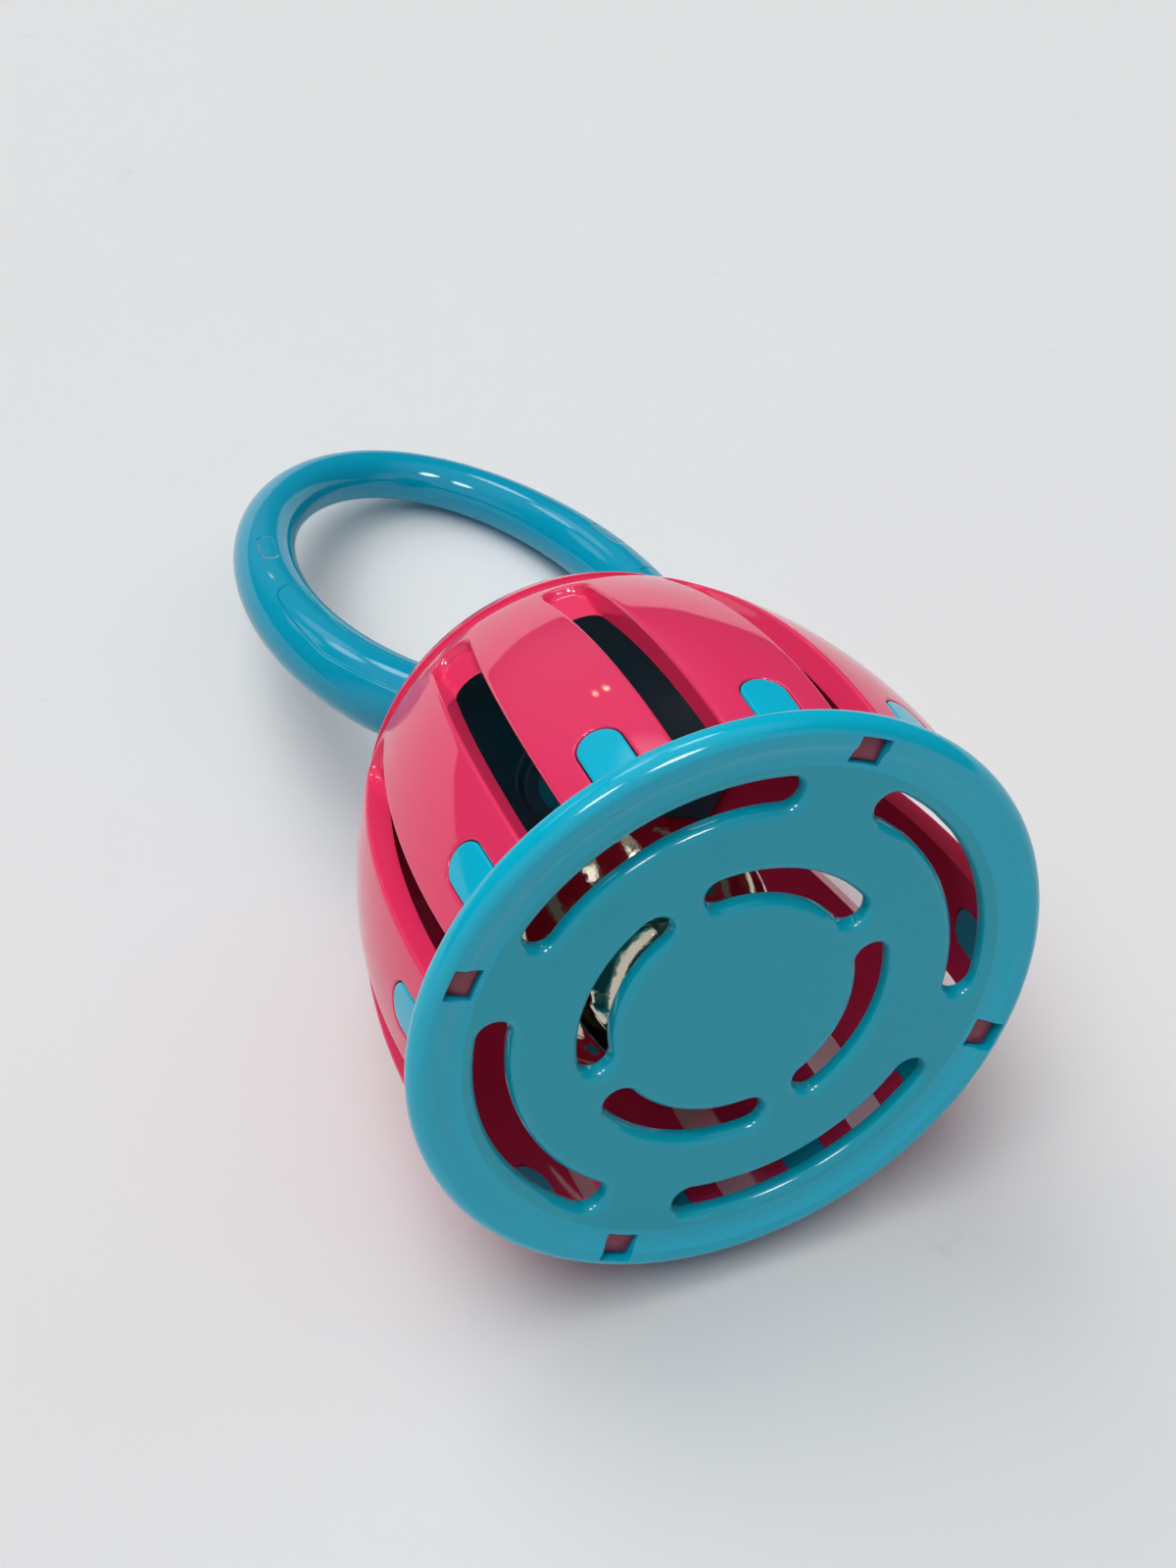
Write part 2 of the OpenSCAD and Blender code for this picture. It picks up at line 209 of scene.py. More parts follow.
@dataclass(frozen=True)
class Sizes:
    """Sizes of the rattle in millimetres, the same as those of its solids."""

    belly_z: float = 10.7
    arc_r: float = 94.0
    arc_x: float = 38.4 - 94.0
    wall: float = 3.0
    staves: int = 12
    groove_w: float = 5.9
    window_w: float = 4.7
    groove_low: float = 3.7
    groove_top: float = 48.4
    groove_floor: float = 29.6
    stave_top: float = 49.4
    band: float = 0.5
    lip_z: float = 54.6
    cage_h: float = 57.4
    lip_r: float = 1.2
    seat_r: float = 21.0
    seat_z: float = 56.2
    crown_under: float = 53.8
    hole_r: float = 6.1
    plate_low: float = 0.6
    plate_top: float = 2.7
    rim_x: float = 37.86
    rim_z: float = 2.08
    rim_r: float = 2.2
    step_r: float = 38.21
    slot_w: float = 4.1
    outer_slot: tuple[float, float] = (30.16, 70.0)
    inner_slot: tuple[float, float] = (17.6, 75.0)
    lock: tuple[float, float, float] = (34.66, 38.46, 2.1)
    lug: tuple[float, float, float] = (34.81, 37.91, 1.1)
    tongue_w: float = 5.5
    tongue_top: float = 12.0
    gap: float = 0.15
    handle_turn: float = -9.5
    loop_w: float = 28.2
    loop_h: float = 36.2
    loop_egg: float = 0.073
    loop_tip_r: float = 3.65
    loop_foot_r: float = 5.7
    loop_mid: float = 96.3
    foot_r: float = 20.85
    spigot_r: float = 6.0
    hub_r: float = 8.0
    hub_low: float = 49.6
    retainer_r: float = 23.7
    bell_at: tuple[float, float, float] = (2.7, -4.3, 19.4)
    bell_turns: tuple[float, float, float] = (-36.0, 19.0, 9.0)
    bell_r: float = 16.4
    bell_t: float = 0.7
    slit_w: float = 2.2
    slit_angle: float = 66.0
    slit_hole: float = 4.0
    pellet_r: float = 4.5
    pellet_drop: float = 10.9

    def angle(self, z: float) -> float:
        """Angle up the dome's arc, in radians, of a height on its outer face."""
        return math.asin((z - self.belly_z) / self.arc_r)

    def radius(self, z: float, inset: float = 0.0) -> float:
        """Radius of the dome at a height, an inset in from its outer face."""
        return self.arc_x + math.sqrt((self.arc_r - inset) ** 2 - (z - self.belly_z) ** 2)

    def skin(self, z: float, depth: float) -> Pair:
        """Radius and height of the point that lies a depth under the outer face at a height."""
        a, rho = self.angle(z), self.arc_r - depth
        return self.arc_x + rho * math.cos(a), self.belly_z + rho * math.sin(a)

    def at_phi(self, phi: float, z: float, depth: float = 0.0) -> Point:
        """Point of the dome's wall at an angle around the axis, in degrees."""
        r, h = self.skin(z, depth)
        return *polar(r, phi), h

    def at_side(self, side: float, z: float, depth: float = 0.0) -> Point:
        """Point of the dome's wall at a distance aside of the XZ plane."""
        r, h = self.skin(z, depth)
        return math.sqrt(r * r - side * side), side, h


# Mesh building


def polar(r: float, deg: float) -> Pair:
    """Point of the plane at a radius and an angle in degrees."""
    return r * math.cos(math.radians(deg)), r * math.sin(math.radians(deg))


def hoop(r: float, z: float, turns: Sequence[float]) -> list[Point]:
    """Points around the axis at one radius and height, at angles in degrees."""
    return [(*polar(r, t), z) for t in turns]


def arc(c: Sequence[float], r: float, a0: float, a1: float, n: int) -> list[Pair]:
    """Points of a circle's arc, both ends included.

    Args:
        c: Centre.
        r: Radius.
        a0: First angle in degrees.
        a1: Last angle in degrees.
        n: Number of steps.

    Returns:
        n + 1 points.
    """
    spokes = [polar(r, a0 + (a1 - a0) * i / n) for i in range(n + 1)]
    return [(c[0] + x, c[1] + y) for x, y in spokes]


def line(p: Sequence[float], q: Sequence[float], n: int) -> list[Pair]:
    """Points of a straight line, both ends included, in n steps."""
    return [(p[0] + (q[0] - p[0]) * i / n, p[1] + (q[1] - p[1]) * i / n) for i in range(n + 1)]


def quarter(e: float, n: int) -> list[Pair]:
    """Quarter round of an edge in n steps: how far out of the wall it is, and how far under the face."""
    return [(e * (1 - math.sin(t)), e * (1 - math.cos(t))) for t in np.linspace(0, math.pi / 2, n + 1)]


def chain(*runs: list[Pair]) -> list[Pair]:
    """Join runs of points whose ends meet.

    Args:
        runs: Runs of points in order.

    Returns:
        One run.
    """
    out = list(runs[0])
    for run in runs[1:]:
        out += run[1:]
    return out


def fill(loops: Sequence[list[Pair]], inner: Sequence[Pair] = ()) -> tuple[list[Pair], list[list[int]]]:
    """Fill the area between an outline and the holes in it with triangles.

    Args:
        loops: The outline and then the holes, each once around to the left.
        inner: Points that the triangles should use besides.

    Returns:
        The points, and the triangles as indices into them.
    """
    verts, faces = [], []
    for loop in loops:
        faces.append(list(range(len(verts), len(verts) + len(loop))))
        verts += [Vector((p[0], p[1])) for p in loop]
    verts += [Vector((p[0], p[1])) for p in inner]
    done = delaunay_2d_cdt(verts, [], faces, 1, 1e-7)
    tris = [list(f) for f, source in zip(done[2], done[5], strict=True) if source == [0]]
    return [(v.x, v.y) for v in done[0]], tris


@dataclass
class Patchwork:
    """Collects grids and loose faces in millimetres, then welds them into one mesh."""

    points: list[Point] = field(default_factory=list)
    faces: list[list[int]] = field(default_factory=list)
    marks: list[int] = field(default_factory=list)

    def add(self, pts: Sequence[Sequence[float]], faces: Sequence[Sequence[int]], mark: int = 0) -> None:
        """Add loose faces.

        Args:
            pts: Points.
            faces: Indices into those points.
            mark: Material index of the faces.
        """
        start = len(self.points)
        self.points += [(float(p[0]), float(p[1]), float(p[2])) for p in pts]
        self.faces += [[start + i for i in f] for f in faces]
        self.marks += [mark] * len(faces)

    def grid(self, rows: Sequence[Sequence[Sequence[float]]], mark: int = 0, loop: bool = False,
             gap: Callable[[int, int], bool] = lambda i, j: False) -> None:
        """Add a grid of quads.

        Args:
            rows: Rows of points, all of one length.
            mark: Material index of the faces.
            loop: Whether the last point of a row joins its first.
            gap: Whether the quad of a row and a column is left out.
        """
        wide = len(rows[0])
        faces = []
        for i in range(len(rows) - 1):
            for j in range(wide if loop else wide - 1):
                if not gap(i, j):
                    k = (j + 1) % wide
                    faces.append([i * wide + j, i * wide + k, (i + 1) * wide + k, (i + 1) * wide + j])
        self.add([p for row in rows for p in row], faces, mark)

    def spin(self, profile: Sequence[Sequence[float]], count: int) -> None:
        """Add a full turning of a profile.

        Args:
            profile: Radius and height of each point.
            count: Number of columns around.
        """
        turns = np.linspace(0, 360, count, endpoint=False)
        self.grid([hoop(r, z, turns) for r, z in profile], loop=True)

    def mesh(self, name: str, place: Matrix | None = None) -> Obj:
        """Weld everything and put it in the scene as one object.

        Args:
            name: Name of the object.
            place: Turn and shift in millimetres, if the piece is made about its own centre.

        Returns:
            The object, at the origin.
        """
        data = bpy.data.meshes.new(name)
        data.from_pydata(self.points, [], self.faces)
        for poly, mark in zip(data.polygons, self.marks, strict=True):
            poly.material_index = mark
        if place is not None:
            data.transform(place)
        data.transform(Matrix.Scale(MM, 4))
        obj = put(name, data)
        clean(obj)
        return obj


def clean(obj: Obj, weld: float = WELD / 2, crease: float = 38.0) -> None:
    """Weld a mesh, turn its faces outwards and shade it smooth between its creases.

    Args:
        obj: Object to clean.
        weld: Distance under which points are joined, in metres.
        crease: Angle in degrees from which an edge stays sharp.
    """
    bm = bmesh.new()
    bm.from_mesh(obj.data)
    bmesh.ops.remove_doubles(bm, verts=bm.verts, dist=weld)
    bmesh.ops.dissolve_degenerate(bm, edges=bm.edges, dist=weld / 4)
    bmesh.ops.recalc_face_normals(bm, faces=bm.faces)
    bm.to_mesh(obj.data)
    bm.free()
    obj.data.shade_smooth()
    obj.data.set_sharp_from_angle(angle=math.radians(crease))


# Geometry Nodes


class Rules:
    """Geometry Nodes tree that makes what repeats, and its baking."""

    inputs = (("Geometry", "Geometry"), ("Count", "Int"), ("First angle", "Float"), ("Weld", "Float"),
              ("Material", "Material"))

    @classmethod
    def ring(cls) -> Tree:
        """Build the tree that mirrors one half of a form across the XZ plane and repeats it around the axis.

        Returns:
            The tree, with named inputs.
        """
        tree = bpy.data.node_groups.new("ring_of_forms", "GeometryNodeTree")
        for name, kind in cls.inputs:
            tree.interface.new_socket(name, in_out="INPUT", socket_type="NodeSocket" + kind)
        tree.interface.new_socket("Geometry", in_out="OUTPUT", socket_type="NodeSocketGeometry")
        ins = node(tree, "NodeGroupInput").outputs
        other = node(tree, "GeometryNodeTransform", {"Geometry": ins["Geometry"], "Scale": (1.0, -1.0, 1.0)})
        flip = node(tree, "GeometryNodeFlipFaces", {0: other.outputs[0]})
        both = node(tree, "GeometryNodeJoinGeometry", {0: ins["Geometry"]})
        tree.links.new(flip.outputs[0], both.inputs[0])
        spots = node(tree, "GeometryNodePoints",
                     {"Count": ins["Count"], "Position": (0.0, 0.0, 0.0), "Radius": MM})
        index = node(tree, "GeometryNodeInputIndex").outputs[0]
        step = calc(tree, "DIVIDE", 2 * math.pi, ins["Count"])
        turn = calc(tree, "MULTIPLY_ADD", index, step, ins["First angle"])
        euler = node(tree, "ShaderNodeCombineXYZ", {"Z": turn}).outputs[0]
        copies = node(tree, "GeometryNodeInstanceOnPoints",
                      {"Points": spots.outputs[0], "Instance": both.outputs[0], "Rotation": euler})
        real = node(tree, "GeometryNodeRealizeInstances", {0: copies.outputs[0]})
        weld = node(tree, "GeometryNodeMergeByDistance", {0: real.outputs[0], "Distance": ins["Weld"]})
        paint = node(tree, "GeometryNodeSetMaterial", {0: weld.outputs[0], "Material": ins["Material"]})
        node(tree, "NodeGroupOutput", {0: paint.outputs[0]})
        return tree

    @staticmethod
    def bake(obj: Obj, tree: Tree, **values: object) -> None:
        """Run a tree on an object and keep the result as its plain mesh.

        Args:
            obj: Object that holds the form to repeat.
            tree: Tree to run.
            values: Inputs of the tree by name, with spaces as underscores.
        """
        mod = obj.modifiers.new("rule", "NODES")
        mod.node_group = tree
        for item in tree.interface.items_tree:
            key = item.name.replace(" ", "_")
            if item.in_out == "INPUT" and key in values:
                mod[item.identifier] = values[key]
        graph = bpy.context.evaluated_depsgraph_get()
        done = bpy.data.meshes.new_from_object(obj.evaluated_get(graph))
        obj.modifiers.remove(mod)
        done.name = obj.name
        obj.data = done
        clean(obj)


# Finishes


class Surface(Enum):
    """How a surface was made, which decides its shader."""

    MOULDED = "moulded"
    PLATED = "plated"


@dataclass(frozen=True)
class Finish:
    """One real material and how it was made."""

    name: str
    colour: str
    surface: Surface
    roughness: float
    spread: float
    wave_mm: float = 6.0
    wave: float = 0.02
    grain_mm: float = 0.4
    grain: float = 0.01
    gloss: float = 0.5
    grip_marks: bool = False

    def build(self) -> bpy.types.Material:
        """Make the material.

        Returns:
            A material whose pattern sizes are real millimetres.
        """
        mat = bpy.data.materials.new(self.name)
        tree = blank(mat)
        where = node(tree, "ShaderNodeTexCoord").outputs["Object"]
        wave = noise(tree, where, self.wave_mm, 2.0)
        grain = noise(tree, where, self.grain_mm, 3.0, 0.6)
        rough = ramp(tree, wave, (0.3, 0.7), (self.roughness - self.spread, self.roughness + self.spread))
        tint = ramp(tree, grain, (0.25, 0.75), (0.96, 1.04))
        skin = bump(tree, self.grain, grain, bump(tree, self.wave, wave))
        if self.grip_marks:
            marks = GripMarks()
            skin = bump(tree, marks.depth, marks.height(tree), skin)
        shader = node(tree, "ShaderNodeBsdfPrincipled", {
            "Base Color": tinted(tree, self.colour, tint), "Roughness": rough, "Normal": skin, "IOR": 1.52,
            "Metallic": 1.0 if self.surface is Surface.PLATED else 0.0, "Specular IOR Level": self.gloss})
        node(tree, "ShaderNodeOutputMaterial", {"Surface": shader.outputs[0]})
        return mat


@dataclass(frozen=True)
class GripMarks:
    """Pill and long channel sunk into the front of each leg of the handle, in millimetres along it."""

    depth: float = 0.3
    pill_at: float = 10.7
    pill_half: float = 2.2
    pill_r: float = 1.05
    channel_r: float = 2.1
    soft: float = 0.18

    def height(self, tree: Tree) -> Socket:
        """Make the height of the skin from the handle's grip attribute.

        Args:
            tree: Tree of the handle's material.

        Returns:
            Socket of the height, 0 in a mark and 1 outside.
        """
        grip = node(tree, "ShaderNodeAttribute", attribute_name="grip").outputs["Vector"]
        part = node(tree, "ShaderNodeSeparateXYZ", {0: grip}).outputs

        def out_of(past: Socket, radius: float) -> Socket:
            """Measure the distance out of a round-ended mark.

            Args:
                past: Distance past the centre of its end.
                radius: Radius of its end.

            Returns:
                Socket of the distance.
            """
            flat = node(tree, "ShaderNodeCombineXYZ", {"X": calc(tree, "MAXIMUM", past, 0.0), "Y": part["Y"]})
            far = node(tree, "ShaderNodeVectorMath", {0: flat.outputs[0]}, operation="LENGTH")
            return calc(tree, "SUBTRACT", far.outputs["Value"], radius)

        aside = calc(tree, "ABSOLUTE", calc(tree, "ADD", part["X"], self.pill_at))
        pill = out_of(calc(tree, "SUBTRACT", aside, self.pill_half), self.pill_r)
        channel = out_of(calc(tree, "SUBTRACT", self.channel_r, part["X"]), self.channel_r)
        near = calc(tree, "MINIMUM", pill, channel)
        height = ramp(tree, near, (-self.soft, self.soft), (0.0, 1.0), smooth=True)
        return calc(tree, "MAXIMUM", height, calc(tree, "LESS_THAN", part["Z"], 0.0))


FINISHES = {
    # polished mould: a wet gloss in which the table and the lamps show, over an even hot pink
    "pink": Finish("pink_abs_polished_mould", "#e63363", Surface.MOULDED, 0.05, 0.02,
                   wave_mm=14.0, wave=0.06, grain=0.001),
    # the same plastic where the mould was not polished, its colour painted dark as painted shade: the ends of
    # the lugs, deep in their windows
    "pink_rough": Finish("pink_abs_rough_mould", "#8f1f3d", Surface.MOULDED, 0.3, 0.05,
                         grain_mm=0.25, grain=0.006),
    # polished mould: the rim and tongues, clear reflections with a soft edge
    "teal": Finish("turquoise_abs_polished_mould", "#00b4d2", Surface.MOULDED, 0.07, 0.02,
                   wave_mm=14.0, wave=0.05, grain=0.001, gloss=0.4),
    # fine spark-eroded mould: the flat of the base, a soft sheen without pictures in it; its teal is painted
    # darker than the rim's as painted shade, the flat facing the dim side of the room
    "satin": Finish("turquoise_abs_satin_mould", "#00a8c0", Surface.MOULDED, 0.2, 0.03,
                    grain_mm=0.25, grain=0.004, gloss=0.37),
    # the slots were cut by polished pins: thin bright lines along their walls; the walls take the flat's
    # darker teal, painted shade
    "slot": Finish("turquoise_abs_polished_slots", "#00a8c0", Surface.MOULDED, 0.07, 0.02,
                   wave_mm=14.0, wave=0.04, grain=0.001, gloss=0.4),
    # the same plastic, moulded darker: the handle, with the marks of its mould sunk into the front
    "grip": Finish("turquoise_abs_handle_mould", "#0096b6", Surface.MOULDED, 0.055, 0.015,
                   wave_mm=14.0, wave=0.05, grain=0.001, gloss=0.36, grip_marks=True),
    # the disc inside the crown, unpolished; its dark teal is painted shade for the dark of the cage
    "deep": Finish("dark_turquoise_abs_inside", "#00566b", Surface.MOULDED, 0.3, 0.04,
                   grain_mm=0.25, grain=0.004),
    # pressed steel sheet, nickel plated: sharp warm-grey reflections broken by small dents
    "nickel": Finish("nickel_plated_sheet_steel", "#cfc4ae", Surface.PLATED, 0.07, 0.03,
                     wave_mm=3.0, wave=0.12, grain=0.012),
    # bare ball: darker and duller than the plating around it
    "steel": Finish("ground_steel_ball", "#8f9194", Surface.PLATED, 0.28, 0.05, grain_mm=0.2, grain=0.006),
}


# Pieces


@dataclass
class Piece:
    """Base of every sub-assembly: its sizes, its finishes and the tree that repeats forms."""

    size: Sizes
    palette: dict[str, bpy.types.Material]
    ring: Tree

    def dress(self, obj: Obj, *finishes: str) -> None:
        """Give an object its finishes, in the order of the marks of its faces."""
        for name in finishes:
            obj.data.materials.append(self.palette[name])

    def repeat(self, obj: Obj, count: int, first: float, finish: str) -> None:
        """Repeat an object's half form around the axis and give it a finish.

        Args:
            obj: Object that holds the half form.
            count: Number of forms around the axis.
            first: Angle of the first one in radians.
            finish: Name of the finish.
        """
        Rules.bake(obj, self.ring, Count=count, First_angle=first, Weld=WELD, Material=self.palette[finish])

    def settle(self, obj: Obj, body: str, slot: str, *nodes: str) -> None:
        """Tie a finished object to its body, hide the solids that it stands for, and report it.

        Args:
            obj: Finished object.
            body: Body that it moves with.
            slot: Not used.
            nodes: Solids that it stands for.
        """
        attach(obj, body)
        if nodes:
            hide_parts(*nodes)
        log.info("%s: %d faces on %s", obj.name, len(obj.data.polygons), body)


@dataclass
class CageDome(Piece):
    """Pink dome: staves with rounded edges, drafted windows, notches, crown and lugs."""

    edge: float = 0.55
    notch_edge: float = 0.28
    top_edge: float = 0.4
    corner: float = 2.2
    foot: float = 0.9
    window_top: float = 43.7
    window_corner: float = 2.1
    window_foot: float = 0.5
    soft: float = 0.3
    lug_half: float = 1.95
    lug_edge: float = 0.25

    def build(self) -> None:
        """Make one half of one groove with its half stave, repeat it around the dome, and add the lugs."""
        half = Patchwork()
        self.groove_half(half)
        obj = half.mesh("cage_dome_shell")
        self.repeat(obj, self.size.staves, 0.0, "pink")
        self.settle(obj, "cage", "pink_plastic", "cage_dome")
        self.lugs()

    def draft(self) -> float:
        """How far the flank of a window leans in for each millimetre of depth."""
        return (self.size.groove_w - self.size.window_w) / 2 / self.size.wall

    def shift(self) -> float:
        """How far outside the groove's outline the round of a stave's edge starts."""
        return self.edge * math.tan((math.pi / 2 - math.atan(self.draft())) / 2)

    def outlines(self) -> tuple[list[Pair], list[Pair], list[Pair], list[int]]:
        """Outline of half a groove and of half its window, run for run, in (aside, height).

        Returns:
            The groove's points, their outward normals, the window's points and the run lengths.
        """
        s = self.size
        half, slim, low, top = s.groove_w / 2, s.window_w / 2, s.groove_low, s.groove_top
        corner, foot, toe, bend = self.corner, self.foot, self.window_foot, self.window_corner
        sill, lintel = low + (half - slim), self.window_top
        notch_end, side_end = 14.0, 41.0
        n_foot, n_notch, n_side, n_bend, n_top = 7, 16, 30, 8, 14
        groove = chain(
            line((0, low), (half - foot, low), 3), arc((half - foot, low + foot), foot, -90, 0, 4),
            line((half, low + foot), (half, notch_end), n_notch),
            line((half, notch_end), (half, side_end), n_side),
            line((half, side_end), (half, top - corner), n_bend),
            arc((half - corner, top - corner), corner, 0, 90, 9), line((half - corner, top), (0, top), 5))
        normal = [(0, -1)] * 3 + [polar(1, a) for a in (-90, -67, -45, -22)]
        normal += [(1, 0)] * (n_notch + n_side + n_bend)
        normal += [polar(1, 10 * i) for i in range(10)] + [(0, 1)] * 5
        window = chain(
            line((0, sill), (slim - toe, sill), 3), arc((slim - toe, sill + toe), toe, -90, 0, 4),
            line((slim, sill + toe), (slim, notch_end), n_notch),
            line((slim, notch_end), (slim, lintel - bend), n_side),
            arc((slim - bend, lintel - bend), bend, 0, 90, n_bend),
            line((slim - bend, lintel), (0, lintel), n_top))
        return groove, normal, window, [n_foot, n_notch, n_side + n_bend, n_top]

    def inside(self, y: float, z: float) -> float:
        """Distance from a point inside the groove to the groove's outline.

        Args:
            y: Distance aside of the groove's middle.
            z: Height.

        Returns:
            The distance.
        """
        s = self.size
        dy = y - (s.groove_w / 2 - self.corner)
        dz = z - (s.groove_top - self.corner)
        if dy > 0 and dz > 0:
            return self.corner - math.hypot(dy, dz)
        return min(s.groove_w / 2 - y, s.groove_top - z, z - s.groove_low)

    def flank(self, p1: Sequence[float], out: Sequence[float], p0: Sequence[float]) -> list[Point]:
        """Profile from a stave's face over its rounded edge down to the window.

        Args:
            p1: Point of the groove's outline.
            out: Outward normal there.
            p0: Point of the window's outline.

        Returns:
            Points of the wall.
        """
        s, draft, soft, fine = self.size, self.draft(), self.soft, 120
        pts = []
        for t in np.linspace(0, math.pi / 2 - math.atan(draft), 8):
            w = self.edge * math.sin(t) - self.shift()
            pts.append((p1[0] - out[0] * w, p1[1] - out[1] * w, self.edge * (1 - math.cos(t))))
        end = pts[-1]
        dense = []
        for i in range(fine + 1):
            f = (i / fine) ** 1.5
            y, z = end[0] + (p0[0] - end[0]) * f, end[1] + (p0[1] - end[1]) * f
            wall = self.inside(y, z) / draft
            floor = max(s.arc_r - (s.groove_floor - s.arc_x) / math.cos(s.angle(z)), soft)
            blend = max(soft - abs(wall - floor), 0.0) / soft
            dense.append([y, z, min(wall, floor, s.wall) - blend * blend * soft / 4])
        miss_0, miss_1 = end[2] - dense[0][2], s.wall - dense[-1][2]
        for i, d in enumerate(dense):
            d[2] += miss_0 * (1 - i / fine) ** 8 + miss_1 * (i / fine) ** 6
        dense = np.array(dense)
        run = np.concatenate([[0.0], np.cumsum(np.linalg.norm(np.diff(dense, axis=0), axis=1))])
        for f in np.linspace(0, 1, 12)[1:]:
            pts.append(tuple(np.interp(f * run[-1], run, dense[:, k]) for k in range(3)))
        return [s.at_side(*p) for p in pts]

    def notch(self) -> list[tuple[Pair, Pair]]:
        """Outline of half a notch from the foot up, in (aside of the stave's middle, height).

        Returns:
            Points with their outward normals.
        """
        s = self.size
        half = s.tongue_w / 2 + s.gap
        mid = s.tongue_top + s.gap - half
        out = [(p, (1.0, 0.0)) for p in line((half, s.plate_top), (half, mid), 8)]
        for x, z in arc((0, 0), 1, 0, 90, 8)[1:]:
            out.append(((half * x, mid + half * z), (x, z)))
        return out

    def notch_phi(self, eta: float, z: float) -> float:
        """Angle in degrees of a point aside of a stave's middle, on the outer face."""
        return 180 / self.size.staves - math.degrees(math.asin(eta / self.size.radius(z)))

    def notch_point(self, eta: float, z: float, depth: float) -> Point:
        """Point aside of a stave's middle, a depth under the outer face."""
        r, h = self.size.skin(z, depth)
        return *polar(r, 180 / self.size.staves - math.degrees(math.asin(eta / r))), h

    def ends(self, notch: list[tuple[Pair, Pair]], runs: list[int]) -> tuple[list[Pair], list[Pair]]:
        """Where the rows of half a stave end: along its foot, its notch, its middle and its top.

        Args:
            notch: Outline of half the notch.
            runs: Run lengths.

        Returns:
            Angle and height of each end, on the outer and on the inner face.
        """
        s, e = self.size, self.notch_edge
        foot, _, side, top = runs
        step, z_top, z_foot = 180 / s.staves, s.stave_top - self.top_edge, s.plate_top
        half = notch[0][0][0]
        outer = [(self.notch_phi(half + e, z_foot) * i / foot, z_foot) for i in range(foot)]
        inner = [(self.notch_phi(half, z_foot) * i / foot, z_foot) for i in range(foot)]
        for (eta, z), (n_eta, n_z) in notch:
            outer.append((self.notch_phi(eta + n_eta * e, z + n_z * e), z + n_z * e))
            inner.append((self.notch_phi(eta, z), z))
        under = s.belly_z + s.arc_r * (s.crown_under - s.belly_z) / (s.arc_r - s.wall)
        for out, high in ((outer, z_top), (inner, under)):
            out += line((step, out[-1][1]), (step, high), side)[1:]
            out += line((step, high), (0, high), top)[1:]
        return outer, inner

    def across(self, start: Pair, end: Pair, parts: Sequence[float], depth: float) -> list[Point]:
        """Points of the wall between two places on it, each an angle in degrees and a height.

        Args:
            start: First place.
            end: Last place.
            parts: Shares of the way.
            depth: Depth under the outer face.

        Returns:
            One point for each share.
        """
        (a0, z0), (a1, z1) = start, end
        return [self.size.at_phi(a0 + (a1 - a0) * f, z0 + (z1 - z0) * f, depth) for f in parts]

    def groove_half(self, kit: Patchwork) -> None:
        """Add the half groove, half stave and their share of the crown.

        Args:
            kit: Patchwork to add to.
        """
        s, e, shift = self.size, self.notch_edge, self.shift()
        groove, normal, window, runs = self.outlines()
        notch = self.notch()
        outer, inner = self.ends(notch, runs)
        face_parts = (0.06, 0.16, 0.32, 0.5, 0.68, 0.84, 0.94, 1.0)
        back_parts = (0.1, 0.3, 0.5, 0.7, 0.9, 1.0)
        flanks, faces, backs, walls = [], [], [], []
        for p1, n, p0, out, back in zip(groove, normal, window, outer, inner, strict=True):
            flank = self.flank(p1, n, p0)
            y, z = p1[0] + n[0] * shift, p1[1] + n[1] * shift
            start = (math.degrees(math.asin(y / s.radius(z))), z)
            under = (math.degrees(math.asin(p0[0] / s.skin(p0[1], s.wall)[0])), p0[1])
            flanks.append(flank)
            faces.append([flank[0], *self.across(start, out, face_parts, 0.0)])
            backs.append([flank[-1], *self.across(under, back, back_parts, s.wall)])
        foot, cut, side, _ = runs
        for i, ((eta, z), (n_eta, n_z)) in enumerate(notch, foot):
            wall = [self.notch_point(eta + n_eta * w, z + n_z * w, d) for w, d in quarter(e, 5)[1:]]
            walls.append([faces[i][-1], *wall, self.notch_point(eta, z, s.wall * 0.6), backs[i][-1]])
        for rows in (flanks, faces, backs, walls):
            kit.grid(rows)
        kit.grid([[faces[i][-1], backs[i][-1]] for i in range(foot + 1)])
        top = foot + cut + side
        turns = [p[0] for p in outer[top:]]
        self.crown(kit, turns, [row[-1] for row in faces[top:]], [row[-1] for row in backs[top:]])

    def crown(self, kit: Patchwork, turns: Sequence[float], low: list[Point], under: list[Point]) -> None:
        """Add the band, lip, seat, hole and underside of the crown over half a groove.

        Args:
            kit: Patchwork to add to.
            turns: Angles of the columns in degrees.
            low: Points of the top of the stave's face.
            under: Points of the inner face under the crown.
        """
        s, e = self.size, self.top_edge
        prof = arc(s.skin(s.stave_top - e, e), e, math.degrees(s.angle(s.stave_top)), 90, 5)[1:]
        step = prof[-1][1]
        prof += [(s.radius(step, s.band) + 0.12, step), (s.radius(step + 0.1, s.band), step + 0.12)]
        prof += [(s.radius(z, s.band), z) for z in np.linspace(step + 0.5, s.lip_z - 0.25, 5)]
        prof += [(s.radius(s.lip_z - 0.05, s.band) + 0.06, s.lip_z - 0.05)]
        for up, deep in ((0.0, 0.28), (0.08, 0.08), (0.28, 0.0)):
            prof.append((s.radius(s.lip_z + up, deep), s.lip_z + up))
        round_z = s.cage_h - s.lip_r
        round_r = s.radius(round_z, s.lip_r)
        tilt = math.degrees(math.asin((round_z - s.belly_z) / (s.arc_r - s.lip_r)))
        lip_end = round_z + polar(s.lip_r, tilt)[1]
        prof += [(s.radius(z), z) for z in np.linspace(s.lip_z + 0.5, lip_end - 0.1, 3)]
        prof += arc((round_r, round_z), s.lip_r, tilt, 90, 10)
        prof += [(s.seat_r + 0.6, s.cage_h)] + arc((s.seat_r + 0.3, s.cage_h - 0.3), 0.3, 90, 180, 4)
